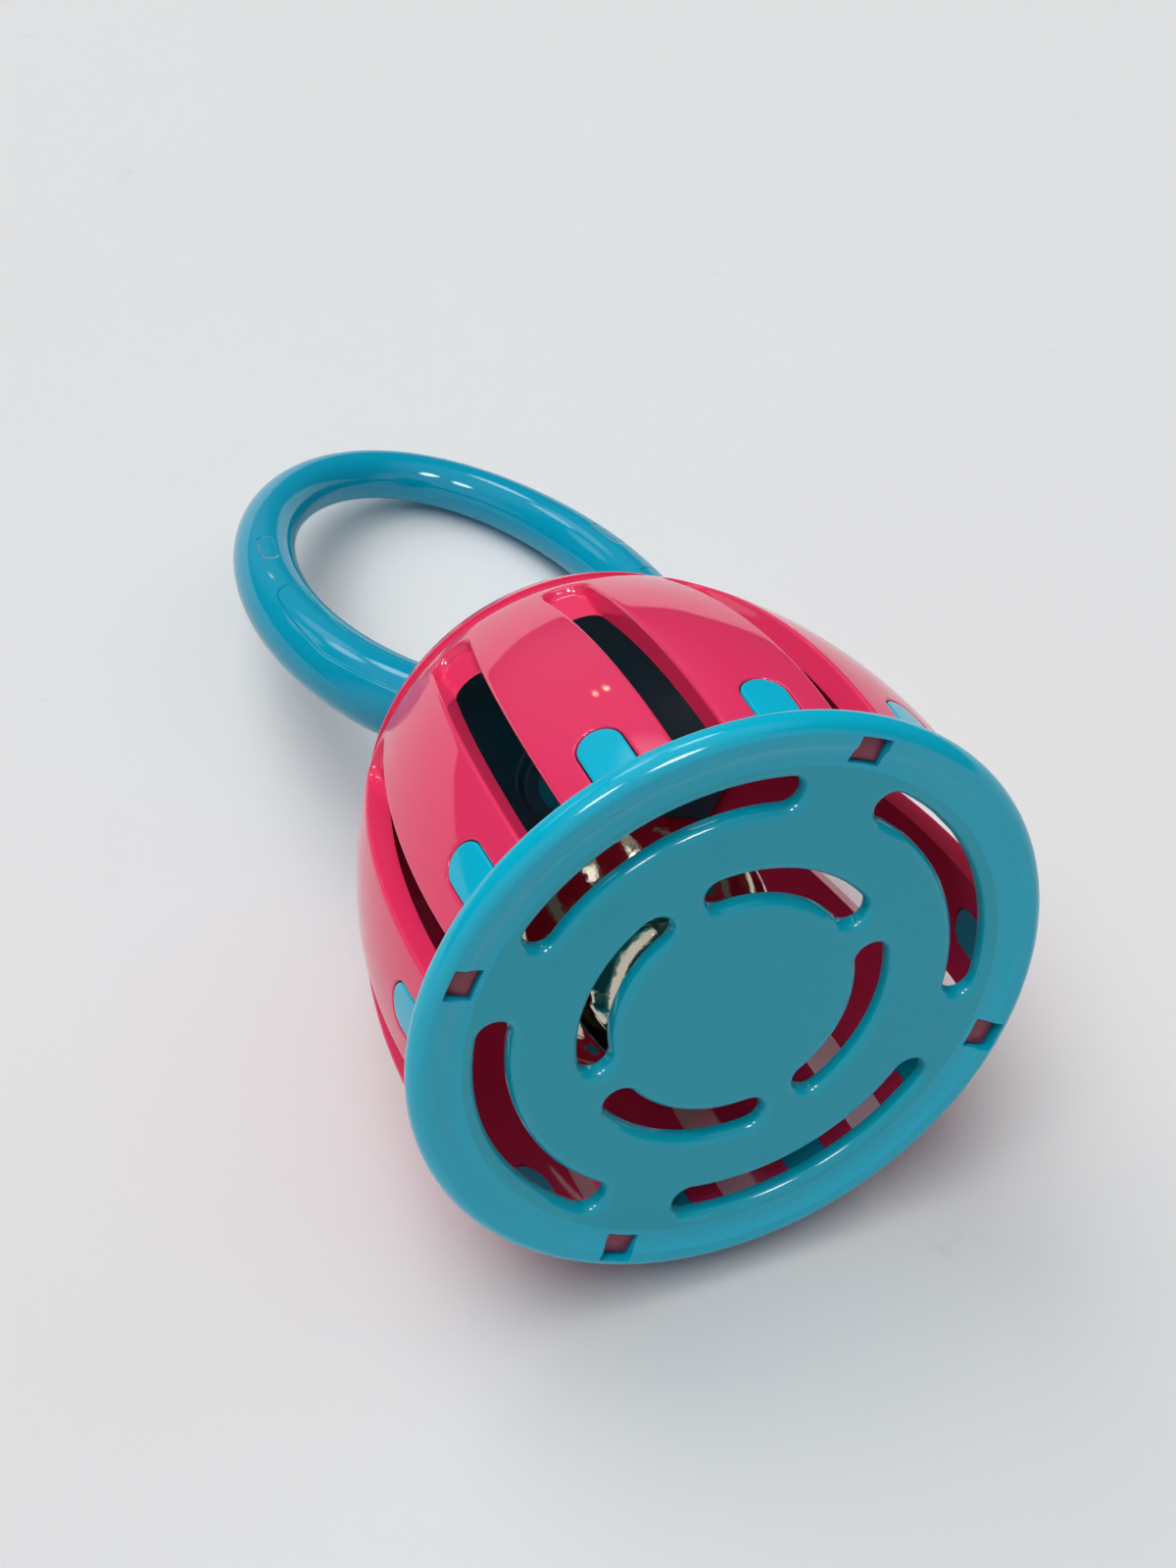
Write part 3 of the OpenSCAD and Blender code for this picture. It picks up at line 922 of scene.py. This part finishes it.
        prof += [(s.seat_r, s.seat_z), (s.hole_r, s.seat_z), (s.hole_r, s.crown_under)]
        kit.grid([low, *(hoop(r, z, turns) for r, z in prof), under])

    def lugs(self) -> None:
        """Make the four pegs that stand in the lock windows of the base."""
        s, e = self.size, self.lug_edge
        lo, hi, face = s.lug
        rows = []
        for z, c in ((s.plate_top + 0.3, 0.0), (face + e, 0.0), (face + 0.07, 0.07), (face, e)):
            half = self.lug_half - c
            rows.append([(hi - c, 0, z), (hi - c, half, z), (lo + c, half, z), (lo + c, 0, z)])
        kit = Patchwork()
        kit.grid(rows)
        kit.add(rows[-1], [[0, 1, 2, 3]])
        kit.add(rows[0], [[0, 1, 2, 3]])
        obj = kit.mesh("cage_dome_lugs")
        # the lug ends are painted dark pink: painted shade deep in their windows
        self.repeat(obj, 4, 0.0, "pink_rough")
        self.settle(obj, "cage", "pink_plastic")


@dataclass
class BasePlate(Piece):
    """Turquoise base: satin plate with round-edged slots, glossy rim, lock windows and tongues."""

    slot_edge: float = 1.3
    top_edge: float = 0.2
    support: float = 0.18
    inner_ring: float = 33.95
    fillet: float = 4.5
    tongue_edge: float = 0.3
    tongue_back: float = 0.2

    def build(self) -> None:
        """Make the plate and the tongues."""
        s = self.size
        kit = Patchwork()
        low, high = self.slots(kit)
        self.face(kit, low, s.plate_low)
        self.face(kit, high, s.plate_top)
        self.rim(kit)
        obj = kit.mesh("base_plate_disc")
        # the flat and the slot walls are painted a darker teal than the rim: painted shade
        self.dress(obj, "satin", "teal", "slot")
        self.settle(obj, "cage", "turquoise_plastic", "base_plate")
        self.tongues()

    def slot_outline(self, r: float, span: float, grow: float, turn: float) -> list[Pair]:
        """Closed outline of a slot, grown outwards.

        Args:
            r: Radius of its middle line.
            span: Angle between its tips in degrees.
            grow: Distance that the outline is moved out.
            turn: Angle of its middle in degrees.

        Returns:
            Points once around.
        """
        half, n_side, n_tip = self.size.slot_w / 2, 39, 14
        b = span / 2 - math.degrees(math.asin(half / r))
        wide, first, last = half + grow, turn - b, turn + b
        return (arc((0, 0), r + wide, first, last, n_side)
                + arc(polar(r, last), wide, last, last + 180, n_tip)[1:-1]
                + arc((0, 0), r - wide, last, first, n_side)
                + arc(polar(r, first), wide, first + 180, first + 360, n_tip)[1:-1])

    def slots(self, kit: Patchwork) -> tuple[list[list[Pair]], list[list[Pair]]]:
        """Add the rounded walls of the eight slots.

        Args:
            kit: Patchwork to add to.

        Returns:
            The outlines that the lower and the upper face of the plate have to meet.
        """
        s, e, t = self.size, self.slot_edge, self.top_edge
        prof = [(e + self.support, s.plate_low)] + [(w, s.plate_low + d) for w, d in quarter(e, 8)]
        prof += [(0.0, s.plate_top - t)] + [(d, s.plate_top - w) for w, d in quarter(t, 5)[1:]]
        prof += [(t + self.support, s.plate_top)]
        low, high = [], []
        for (r, span), first in ((s.outer_slot, 45.0), (s.inner_slot, 0.0)):
            for q in range(4):
                rows = []
                for grow, z in prof:
                    rows.append([(x, y, z) for x, y in self.slot_outline(r, span, grow, first + 90 * q)])
                kit.grid(rows, 2, loop=True)
                low.append([p[:2] for p in rows[0]])
                high.append([p[:2] for p in rows[-1]])
        return low, high

    def face(self, kit: Patchwork, holes: Sequence[list[Pair]], z: float) -> None:
        """Add a flat face of the plate between the rim and the slots.

        Args:
            kit: Patchwork to add to.
            holes: Outlines of the slots.
            z: Height of the face.
        """
        edge = [polar(self.inner_ring, t) for t in self.columns(self.inner_ring)]
        points, tris = fill([edge, *holes])
        kit.add([(x, y, z) for x, y in points], tris)

    def columns(self, r: float) -> list[float]:
        """Angles of the rim's columns at a radius, with those along the sides of the lock windows.

        Args:
            r: Radius.

        Returns:
            Angles in degrees, once around.
        """
        half = math.degrees(math.asin(self.size.lock[2] / r))
        out = []
        for q in range(4):
            out += [90 * q + half * f for f in (-1, -1 / 3, 1 / 3, 1)]
            out += [90 * q + float(t) for t in np.linspace(6, 84, 40)]
        return out

    def rim(self, kit: Patchwork) -> None:
        """Add the rounded rim with its lock windows.

        Args:
            kit: Patchwork to add to.
        """
        s, fillet = self.size, self.fillet
        f_z = s.plate_low - fillet
        f_x = s.rim_x - math.sqrt((fillet + s.rim_r) ** 2 - (s.rim_z - f_z) ** 2)
        meet = math.degrees(math.atan2(s.rim_z - f_z, s.rim_x - f_x))
        ground = math.degrees(math.asin(s.rim_z / s.rim_r))
        step = math.degrees(math.acos((s.step_r - s.rim_x) / s.rim_r))
        lock_in, lock_out, _ = s.lock
        prof = [(self.inner_ring, s.plate_low), (lock_in, s.plate_low)]
        prof += arc((f_x, f_z), fillet, 90, meet, 7)
        prof += arc((s.rim_x, s.rim_z), s.rim_r, meet + 180, 180 + ground, 9)[1:]
        last = len(prof)
        prof += [(lock_out, 0.0)] + arc((s.rim_x, s.rim_z), s.rim_r, -ground, step, 26)
        prof += [(s.step_r, s.plate_top), (self.inner_ring, s.plate_top)]
        rows = [hoop(r, z, self.columns(r)) for r, z in prof]
        wide = len(rows[0])
        per = wide // 4
        kit.grid(rows, 1, loop=True, gap=lambda i, j: 1 <= i < last and j % per < 3)
        for q in range(0, wide, per):
            ring = [row[q] for row in rows[1 : last + 1]] + rows[last][q + 1 : q + 4]
            ring += [row[q + 3] for row in rows[last - 1 : 0 : -1]] + [rows[1][q + 2], rows[1][q + 1]]
            kit.grid([ring, [(x, y, s.plate_top - 0.02) for x, y, _ in ring]], 1, loop=True)

    def tongues(self) -> None:
        """Make the tongues that fill the notches of the staves."""
        s, e, back = self.size, self.tongue_edge, self.tongue_back
        half, bottom = s.tongue_w / 2, s.plate_top - 0.2
        mid = s.tongue_top - half
        outline = chain(line((half, bottom), (half, mid), 8), arc((0, mid), half, 0, 90, 9))
        normal = [(1.0, 0.0)] * 9 + arc((0, 0), 1, 10, 90, 8)
        spine = [z for _, z in line((0, bottom), (0, mid), 8)]
        spine += [mid + (half - e) * 0.9 * (i / 9) ** 1.2 for i in range(1, 10)]
        rows = []
        for (y, z), (ny, nz), zc in zip(outline, normal, spine, strict=True):
            iy, iz = y - ny * e, z - nz * e - zc
            row = [s.at_side(iy * f, zc + iz * f) for f in (0, 0.35, 0.65, 0.88)]
            row += [s.at_side(max(y - ny * w, 0.0), z - nz * w, d) for w, d in quarter(e, 7)]
            row.append(s.at_side(max(y, 0.0), z, s.wall - back))
            row.append(s.at_side(max(y - ny * back, 0.0), z - nz * back, s.wall))
            row += [s.at_side(iy * f, zc + iz * f, s.wall) for f in (0.6, 0)]
            rows.append(row)
        kit = Patchwork()
        kit.grid(rows)
        obj = kit.mesh("base_plate_tongues")
        self.repeat(obj, s.staves, math.pi / s.staves, "teal")
        self.settle(obj, "cage", "turquoise_plastic")


@dataclass
class Handle(Piece):
    """Loop handle with its foot on the crown, and the retainer under the crown."""

    around: int = 56
    along: int = 300
    channel_starts: Pair = (179.0, 350.0)
    channel_bends: tuple[Point, Point] = ((-12.0, 0.0, 14.0), (0.85, 0.6, 2.1))
    foot_rise: tuple[Pair, ...] = ((0.0, 2.6), (12.0, 2.6), (17.0, 2.4), (19.0, 1.95))
    foot_edge: Pair = (1.1, 0.5)
    loop_sunk: float = 0.6
    disc_t: float = 2.0
    disc_gap: float = 0.01
    disc_rounds: Point = (0.3, 0.4, 0.6)

    def build(self) -> None:
        """Make the loop, its foot and the retainer."""
        rows = []
        for t in np.linspace(0, 2 * math.pi, self.along, endpoint=False):
            x, z, slope, r = self.centre(t)
            section = arc((0, 0), r, 0, 360, self.around)[:-1]
            rows.append([(x + u * math.cos(slope), v, z + u * math.sin(slope)) for u, v in section])
        kit = Patchwork()
        kit.grid([*rows, rows[0]], loop=True)
        turn = Matrix.Rotation(math.radians(self.size.handle_turn), 4, "Z")
        obj = kit.mesh("handle_loop", turn)
        self.cut_foot(obj)
        self.measure_grip(obj, turn.inverted())
        self.dress(obj, "grip")
        self.settle(obj, "cage", "turquoise_plastic", "handle")
        self.foot()
        self.retainer()

    def foot(self) -> None:
        """Make the domed foot and the spigot that goes through the crown."""
        s = self.size
        rise, e = self.foot_edge
        prof = [(r, s.seat_z + z) for r, z in self.foot_rise]
        prof += arc((s.foot_r - e, s.seat_z + rise), e, 60, 0, 5)
        prof += [(s.foot_r, s.seat_z), (s.spigot_r, s.seat_z), (s.spigot_r, s.hub_low), (0.0, s.hub_low)]
        kit = Patchwork()
        kit.spin(prof, 144)
        obj = kit.mesh("handle_foot")
        self.dress(obj, "grip")
        self.settle(obj, "cage", "turquoise_plastic")

    def at(self, t: float) -> Pair:
        """Place of the loop's middle line, aside and high, at an angle around it in radians."""
        s, sin = self.size, math.sin(t)
        return s.loop_w * math.cos(t) * (1 - s.loop_egg * sin), s.loop_mid + s.loop_h * sin

    def centre(self, t: float) -> tuple[float, float, float, float]:
        """Middle line and section of the loop.

        Args:
            t: Angle around the loop in radians, a quarter turn at the tip.

        Returns:
            Aside, height, direction out of the loop and radius of the section.
        """
        s = self.size
        (x, z), (x0, z0), (x1, z1) = self.at(t), self.at(t - 0.004), self.at(t + 0.004)
        r = (s.loop_foot_r + s.loop_tip_r) / 2 - (s.loop_foot_r - s.loop_tip_r) / 2 * math.sin(t)
        return x, z, math.atan2(x0 - x1, z1 - z0), r

    def measure_grip(self, obj: Obj, back: Matrix) -> None:
        """Write where each point lies on the grip in mm: along from a channel's start, across and front.

        Args:
            obj: The loop.
            back: Turn of the loop back to the XZ plane.
        """
        turns = np.linspace(0, 2 * math.pi, 1441)
        x_mid, z_mid, slopes, _ = np.array([self.centre(t) for t in turns]).T
        run = np.concatenate([[0.0], np.cumsum(np.hypot(np.diff(x_mid), np.diff(z_mid)))])
        start_r, start_l = np.interp(np.radians(self.channel_starts), turns, run)
        values = []
        for v in obj.data.vertices:
            x, y, z = (back @ v.co) / MM
            k = int(np.argmin((x_mid - x) ** 2 + (z_mid - z) ** 2))
            across = (x - x_mid[k]) * math.cos(slopes[k]) + (z - z_mid[k]) * math.sin(slopes[k])
            past_zero = run[-1] if turns[k] < math.pi else 0.0
            along = run[k] - start_r if x < 0 else start_l - run[k] - past_zero
            values += [along, across - np.interp(along, *self.channel_bends), y]
        data = obj.data.attributes.new("grip", "FLOAT_VECTOR", "POINT")
        data.data.foreach_set("vector", [float(v) for v in values])

    def cut_foot(self, obj: Obj) -> None:
        """Cut the loop off inside its foot.

        Args:
            obj: The loop.
        """
        bm = bmesh.new()
        bm.from_mesh(obj.data)
        bmesh.ops.bisect_plane(bm, geom=[*bm.verts, *bm.edges, *bm.faces], clear_inner=True,
                               plane_co=(0, 0, (self.size.seat_z + self.loop_sunk) * MM), plane_no=(0, 0, 1))
        bm.to_mesh(obj.data)
        bm.free()
        obj.data.shade_smooth()

    def retainer(self) -> None:
        """Make the disc and hub under the crown."""
        s = self.size
        low, high = s.crown_under - self.disc_t, s.crown_under - self.disc_gap
        top, e, fillet = self.disc_rounds
        prof = [(s.spigot_r, high), (s.retainer_r - top, high)]
        prof += arc((s.retainer_r - top, high - top), top, 90, 0, 4)[1:]
        prof += arc((s.retainer_r - e, low + e), e, 0, -90, 4)
        prof += [(s.hub_r + fillet, low)] + arc((s.hub_r + fillet, low - fillet), fillet, 90, 180, 4)[1:]
        prof += arc((s.hub_r - e, s.hub_low + e), e, 0, -90, 4) + [(s.spigot_r, s.hub_low)]
        kit = Patchwork()
        kit.spin([*prof, prof[0]], 120)
        obj = kit.mesh("handle_retainer_disc")
        # the retainer's dark teal is painted shade for the dark inside the cage
        self.dress(obj, "deep")
        self.settle(obj, "cage", "turquoise_plastic", "handle_retainer")


@dataclass
class JingleBell(Piece):
    """Plated bell with cross slits, crimped seam, strip eye and a loose pellet."""

    lip: float = 0.45
    lip_rise: Pair = (0.13, 0.06)
    clear_of_lip: float = 0.022
    columns: int = 120
    eye_mid: float = 3.1
    eye_low: float = 13.6
    eye_rise: float = 1.2
    strip: tuple[float, float, float] = (1.0, 2.4, 0.2)

    def build(self) -> None:
        """Make the two shells, the eye and the pellet."""
        s = self.size
        lean = Euler([math.radians(a) for a in s.bell_turns], "XYZ").to_matrix().to_4x4()
        place = Matrix.Translation(Vector(s.bell_at)) @ lean
        for name, make, solid in (("bell_upper", self.upper, "bell_upper_shell"),
                                  ("bell_lower", self.lower, "bell_lower_shell"),
                                  ("bell_eye", self.eye, "bell_loop")):
            obj = make().mesh(name, place)
            self.dress(obj, "nickel")
            self.settle(obj, "bell", "plated_steel", solid)
        self.pellet()

    def upper(self) -> Patchwork:
        """Make the upper shell with the band that is crimped over the lower one.

        Returns:
            Its faces, about the bell's centre.
        """
        r, inner = self.size.bell_r, self.size.bell_r - self.size.bell_t
        band, drop, bead = r + 0.15, 0.5, 0.45
        prof = [(0.0, r)] + arc((0, 0), r, 88, 4.5, 43) + [(r + 0.12, 0.95)]
        prof += arc((band, drop), bead, 70, 0, 4) + arc((band, -drop), bead, 0, -90, 5)
        prof += [(r + 0.01, -0.9), (inner, 0.0)] + arc((0, 0), inner, 3, 88, 29) + [(0.0, inner)]
        kit = Patchwork()
        kit.spin(prof, self.columns)
        return kit

    def arm(self) -> list[Vector]:
        """Outline of one arm of the slits on the ball: out along one side, around the end hole, and back.

        Returns:
            Points of the arm along the X axis.
        """
        s = self.size
        r, half, hole = s.bell_r, s.slit_w / 2, s.slit_hole / 2
        x, z = polar(1, s.slit_angle)
        axis, up, side = Vector((z, 0, -x)), Vector((x, 0, z)), Vector((0, 1, 0))
        start = math.asin(half / hole)
        mid = axis * math.sqrt(r * r - hole * hole)
        reach = (mid - up * hole * math.cos(start)).x
        edge = [(x, -math.sqrt(r * r - half * half - x * x)) for x in np.linspace(half, reach, 14)]
        ring = [mid + hole * (-up * math.cos(t) + side * math.sin(t))
                for t in np.linspace(-start, start - 2 * math.pi, 26)]
        return ([Vector((x, -half, z)) for x, z in edge[:-1]] + ring
                + [Vector((x, half, z)) for x, z in reversed(edge[1:-1])])

    @staticmethod
    def flat(p: Vector) -> Pair:
        """Unroll a point of the ball: its angle from the lowest point, in radians, along its bearing."""
        theta, az = math.acos(max(-1.0, min(1.0, -p.z / p.length))), math.atan2(p.y, p.x)
        return theta * math.cos(az), theta * math.sin(az)

    @staticmethod
    def ball(v: Sequence[float], radius: float) -> Point:
        """Roll an unrolled point back onto a ball.

        Args:
            v: The unrolled point.
            radius: Radius of the ball.

        Returns:
            Point about the ball's centre.
        """
        theta, az = math.hypot(*v), math.atan2(v[1], v[0])
        wide = radius * math.sin(theta)
        return wide * math.cos(az), wide * math.sin(az), -radius * math.cos(theta)

    def lower(self) -> Patchwork:
        """Make the lower shell with its cross of slits, filled between their turned-up lips and the seam.

        Returns:
            Its faces, about the bell's centre.
        """
        r, inner = self.size.bell_r, self.size.bell_r - self.size.bell_t
        arm = self.arm()
        loop = []
        for q in range(4):
            spin = Matrix.Rotation(math.radians(90 * q), 3, "Z")
            loop += [self.flat(spin @ p) for p in arm]
        lip = []
        for v, (x0, y0), (x1, y1) in zip(loop, loop[-1:] + loop[:-1], loop[1:] + loop[:1], strict=True):
            d = self.lip / r / math.hypot(x1 - x0, y1 - y0)
            lip.append((v[0] + (y1 - y0) * d, v[1] - (x1 - x0) * d))
        edge = arc((0, 0), math.pi / 2, 0, 360, self.columns)[:-1]
        free = []
        for theta in np.linspace(0.06, math.pi / 2 - 0.04, 34):
            for p in arc((0, 0), theta, 0, 360, max(8, int(theta * 70)))[:-1]:
                if min(math.dist(p, v) for v in lip) > self.clear_of_lip:
                    free.append(p)
        points, tris = fill([edge, lip], free)
        kit = Patchwork()
        for radius in (r, inner):
            kit.add([self.ball(v, radius) for v in points], tris)
        middle = [((v[0] + w[0]) / 2, (v[1] + w[1]) / 2) for v, w in zip(loop, lip, strict=True)]
        high, low = self.lip_rise
        turned = ((lip, r), (middle, r + high), (loop, r + low), (loop, inner), (lip, inner))
        for rings in (((edge, r), (edge, inner)), turned):
            kit.grid([[self.ball(v, radius) for v in ring] for ring, radius in rings], loop=True)
        return kit

    def eye(self) -> Patchwork:
        """Make the bent strip that the bell is hung by before it is caged.

        Returns:
            Its faces, about the bell's centre.
        """
        mid, low, arch = self.eye_mid, self.eye_low, self.size.bell_r + self.eye_rise
        path = chain(line((mid, low), (mid, arch), 8), arc((0, arch), mid, 0, 180, 24),
                     line((-mid, arch), (-mid, low), 8))
        thick, wide, e = self.strip
        a, b = thick / 2, wide / 2
        half = [(a, -b + e), (a, b - e), (a - e, b), (-a + e, b)]
        section = half + [(-u, -v) for u, v in half]
        rows = []
        for (x, z), (x0, z0), (x1, z1) in zip(path, path[:1] + path[:-1], path[1:] + path[-1:], strict=True):
            d = math.hypot(x1 - x0, z1 - z0)
            rows.append([(x + (z1 - z0) / d * u, v, z - (x1 - x0) / d * u) for u, v in section])
        kit = Patchwork()
        kit.grid(rows, loop=True)
        for end in (rows[0], rows[-1]):
            kit.add(end, [list(range(8))])
        return kit

    def pellet(self) -> None:
        """Make the loose ball at the bottom of the bell."""
        s = self.size
        data = bpy.data.meshes.new("bell_pellet_ball")
        bm = bmesh.new()
        bmesh.ops.create_uvsphere(bm, u_segments=48, v_segments=24, radius=s.pellet_r * MM)
        x, y, z = s.bell_at
        bmesh.ops.translate(bm, verts=bm.verts, vec=Vector((x, y, z - s.pellet_drop)) * MM)
        bm.to_mesh(data)
        bm.free()
        obj = put("bell_pellet_ball", data)
        data.shade_smooth()
        self.dress(obj, "steel")
        self.settle(obj, "pellet", "bare_steel", "bell_pellet")


# Stage


@dataclass(frozen=True)
class Lamp:
    """One soft lamp: its direction over the table and to the right of the view, its width and strength."""

    name: str
    elevation: float
    azimuth: float
    spread: float
    strength: float
    colour: str = "#ffffff"
    mirrored: bool = True


LAMPS = (
    Lamp("ceiling_near", 72.5, -130, 36, 0.31, mirrored=False),
    Lamp("ceiling_far", 70, -43, 36, 0.22, mirrored=False),
    Lamp("window_left", 46, -44, 40, 0.27, mirrored=False),
    Lamp("window_right", 35, 55, 40, 0.05, mirrored=False),
    Lamp("warm_bulb_a", 15.9, -19.3, 1.2, 0.002, "#ffcf9a"),
    Lamp("warm_bulb_b", 15.9, -22.2, 1.2, 0.0015, "#ffcf9a"),
)


@dataclass(frozen=True)
class Spot:
    """One bright place that gloss shows: its direction, its core and edge in degrees, and its strength."""

    name: str
    elevation: float
    azimuth: float
    core: float
    edge: float
    strength: float


SPOTS = (
    Spot("window_left", 33, -55, 5, 11, 1.6),
    Spot("window_far", 38, -24, 5, 11, 1.6),
    Spot("far_wall", 16, -22, 8, 30, 0.25),
    Spot("panel_near_right", 68, 149, 4, 9, 26.0),
    Spot("panel_near_left", 65, -148, 4, 8, 22.0),
    Spot("panel_far", 52, -8, 4, 9, 8.0),
    Spot("panel_far_left", 48.5, -36, 3, 8, 6.0),
)


@dataclass
class Studio:
    """Table, light and camera of the photograph."""

    up: Vector = field(default_factory=lambda: Vector((0.4267, 0.8592, -0.2823)).normalized())
    away: Vector = field(default_factory=lambda: Vector((-0.2189, 0.4010, 0.8895)).normalized())
    camera_at: Point = (177.71, 148.96, -210.57)
    camera_right: Point = (-0.850, 0.375, -0.369)
    camera_back: Point = (0.512, 0.429, -0.744)
    focal_share: float = 2746.5 / 1600
    table_drop: float = 43.7
    table_half: float = 1.6
    table_end: float = 0.39
    table_colour: str = "#dfe0e0"
    table_fill: float = 0.2
    cloud_mm: float = 1000 / 9
    scuff_mm: float = 1000 / 45
    room_colour: str = "#f2f5fa"
    wall_light: float = 0.08
    ceiling_light: float = 0.68
    ceiling_from: Pair = (0.70, 0.90)
    near_from: Pair = (-0.6, -0.1)
    backdrop_colour: str = "#e4e5e5"
    backdrop_gloss: float = 0.85

    def build(self) -> None:
        """Make the camera, the table, the light and the room."""
        self.camera()
        self.table()
        self.lamps()
        self.room()

    def camera(self) -> None:
        """Set the camera where it was fitted to the photograph."""
        data = bpy.data.cameras.new("photo_camera")
        data.sensor_fit = "VERTICAL"
        data.sensor_height = 36.0
        data.lens = data.sensor_height * self.focal_share
        data.clip_start, data.clip_end = 0.01, 20.0
        right, back = Vector(self.camera_right), Vector(self.camera_back).normalized()
        right = (right - back * right.dot(back)).normalized()
        turn = Matrix((right, back.cross(right), back)).transposed().to_4x4()
        obj = put("photo_camera", data)
        obj.matrix_world = Matrix.Translation(Vector(self.camera_at) * MM) @ turn
        bpy.context.scene.camera = obj

    def table(self) -> None:
        """Make the table that the rattle lies on with its dome and loop."""
        data = bpy.data.meshes.new("table")
        w, end = self.table_half, self.table_end
        data.from_pydata([(-w, -w, 0), (w, -w, 0), (w, end, 0), (-w, end, 0)], [], [(0, 1, 2, 3)])
        obj = put("table", data)
        right = self.away.cross(self.up).normalized()
        turn = Matrix((right, self.up.cross(right), self.up)).transposed().to_4x4()
        obj.matrix_world = Matrix.Translation(-self.up * self.table_drop * MM) @ turn
        data.materials.append(self.board())

    def board(self) -> bpy.types.Material:
        """Make the painted board: faintly clouded and scuffed, with a weak glow upwards, clear from below.

        Returns:
            The table's material.
        """
        mat = bpy.data.materials.new("painted_board_table")
        tree = blank(mat)
        where = node(tree, "ShaderNodeTexCoord").outputs["Object"]
        even = ramp(tree, noise(tree, where, self.cloud_mm, 4.0), (0.0, 1.0), (0.98, 1.02))
        worn = ramp(tree, noise(tree, where, self.scuff_mm, 5.0, 0.7), (0.66, 0.8), (0.0, -0.12))
        colour = tinted(tree, self.table_colour, calc(tree, "ADD", even, worn))
        paint = node(tree, "ShaderNodeBsdfPrincipled",
                     {"Base Color": colour, "Roughness": 0.55, "Specular IOR Level": 0.15})
        path = node(tree, "ShaderNodeLightPath").outputs
        fill_light = calc(tree, "MULTIPLY", path["Is Diffuse Ray"], self.table_fill)
        glow = node(tree, "ShaderNodeEmission", {"Color": colour, "Strength": fill_light})
        lit = node(tree, "ShaderNodeAddShader", {0: paint.outputs[0], 1: glow.outputs[0]})
        clear = node(tree, "ShaderNodeBsdfTransparent")
        behind = node(tree, "ShaderNodeNewGeometry").outputs["Backfacing"]
        mix = node(tree, "ShaderNodeMixShader", {0: behind, 1: lit.outputs[0], 2: clear.outputs[0]})
        node(tree, "ShaderNodeOutputMaterial", {"Surface": mix.outputs[0]})
        return mat

    def toward(self, elevation: float, azimuth: float) -> Vector:
        """Direction over the table and to the right of the view.

        Args:
            elevation: Degrees over the table.
            azimuth: Degrees to the right, with 0 away from the camera.

        Returns:
            The direction, of length one.
        """
        (flat, high), (deep, aside) = polar(1, elevation), polar(1, azimuth)
        right = self.away.cross(self.up).normalized()
        return self.up * high + (self.away * deep + right * aside) * flat

    def lamps(self) -> None:
        """Hang the lamps, each so far off that only its direction counts."""
        for lamp in LAMPS:
            data = bpy.data.lights.new(lamp.name, "SUN")
            data.energy = math.pi * lamp.strength
            data.angle = math.radians(lamp.spread)
            data.color = srgb(lamp.colour)[:3]
            obj = put(lamp.name, data)
            aim = self.toward(lamp.elevation, lamp.azimuth)
            obj.matrix_world = aim.to_track_quat("Z", "Y").to_matrix().to_4x4()
            obj.visible_glossy = lamp.mirrored

    def room(self) -> None:
        """Make the room: dim far walls, bright ceiling, and a pale backdrop for camera and near gloss."""
        world = bpy.data.worlds.new("room")
        bpy.context.scene.world = world
        tree = blank(world)
        where = node(tree, "ShaderNodeTexCoord").outputs["Generated"]
        path = node(tree, "ShaderNodeLightPath").outputs

        def along(direction: Vector) -> Socket:
            """Cosine of the angle between a ray and a direction."""
            ins = {0: where, 1: tuple(direction)}
            return node(tree, "ShaderNodeVectorMath", ins, operation="DOT_PRODUCT").outputs["Value"]

        light = (self.wall_light, self.ceiling_light)
        ceiling = ramp(tree, along(self.up), self.ceiling_from, light, smooth=True)
        near = ramp(tree, along(self.away), self.near_from, (self.backdrop_gloss, 0.0), smooth=True)
        shown = calc(tree, "ADD", path["Is Glossy Ray"], path["Is Transmission Ray"])
        level = calc(tree, "MAXIMUM", ceiling, calc(tree, "MULTIPLY", shown, near))
        for spot in SPOTS:
            span = (polar(1, spot.edge)[0], polar(1, spot.core)[0])
            aim = along(self.toward(spot.elevation, spot.azimuth))
            glow = ramp(tree, aim, span, (0.0, spot.strength), smooth=True)
            level = calc(tree, "MULTIPLY_ADD", glow, path["Is Glossy Ray"], level)
        lit = node(tree, "ShaderNodeBackground", {"Color": srgb(self.room_colour), "Strength": level})
        plain = node(tree, "ShaderNodeBackground", {"Color": srgb(self.backdrop_colour), "Strength": 1.0})
        mix = node(tree, "ShaderNodeMixShader",
                   {0: path["Is Camera Ray"], 1: lit.outputs[0], 2: plain.outputs[0]})
        node(tree, "ShaderNodeOutputWorld", {"Surface": mix.outputs[0]})


def main() -> None:
    """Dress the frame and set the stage."""
    logging.basicConfig(level=logging.INFO, format="%(name)s: %(message)s")
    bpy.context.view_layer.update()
    size, ring = Sizes(), Rules.ring()
    palette = {name: finish.build() for name, finish in FINISHES.items()}
    for kind in (CageDome, BasePlate, Handle, JingleBell):
        kind(size, palette, ring).build()
    Studio().build()
    bpy.context.scene.view_settings.view_transform = "Standard"


if __name__ == "__main__":
    main()
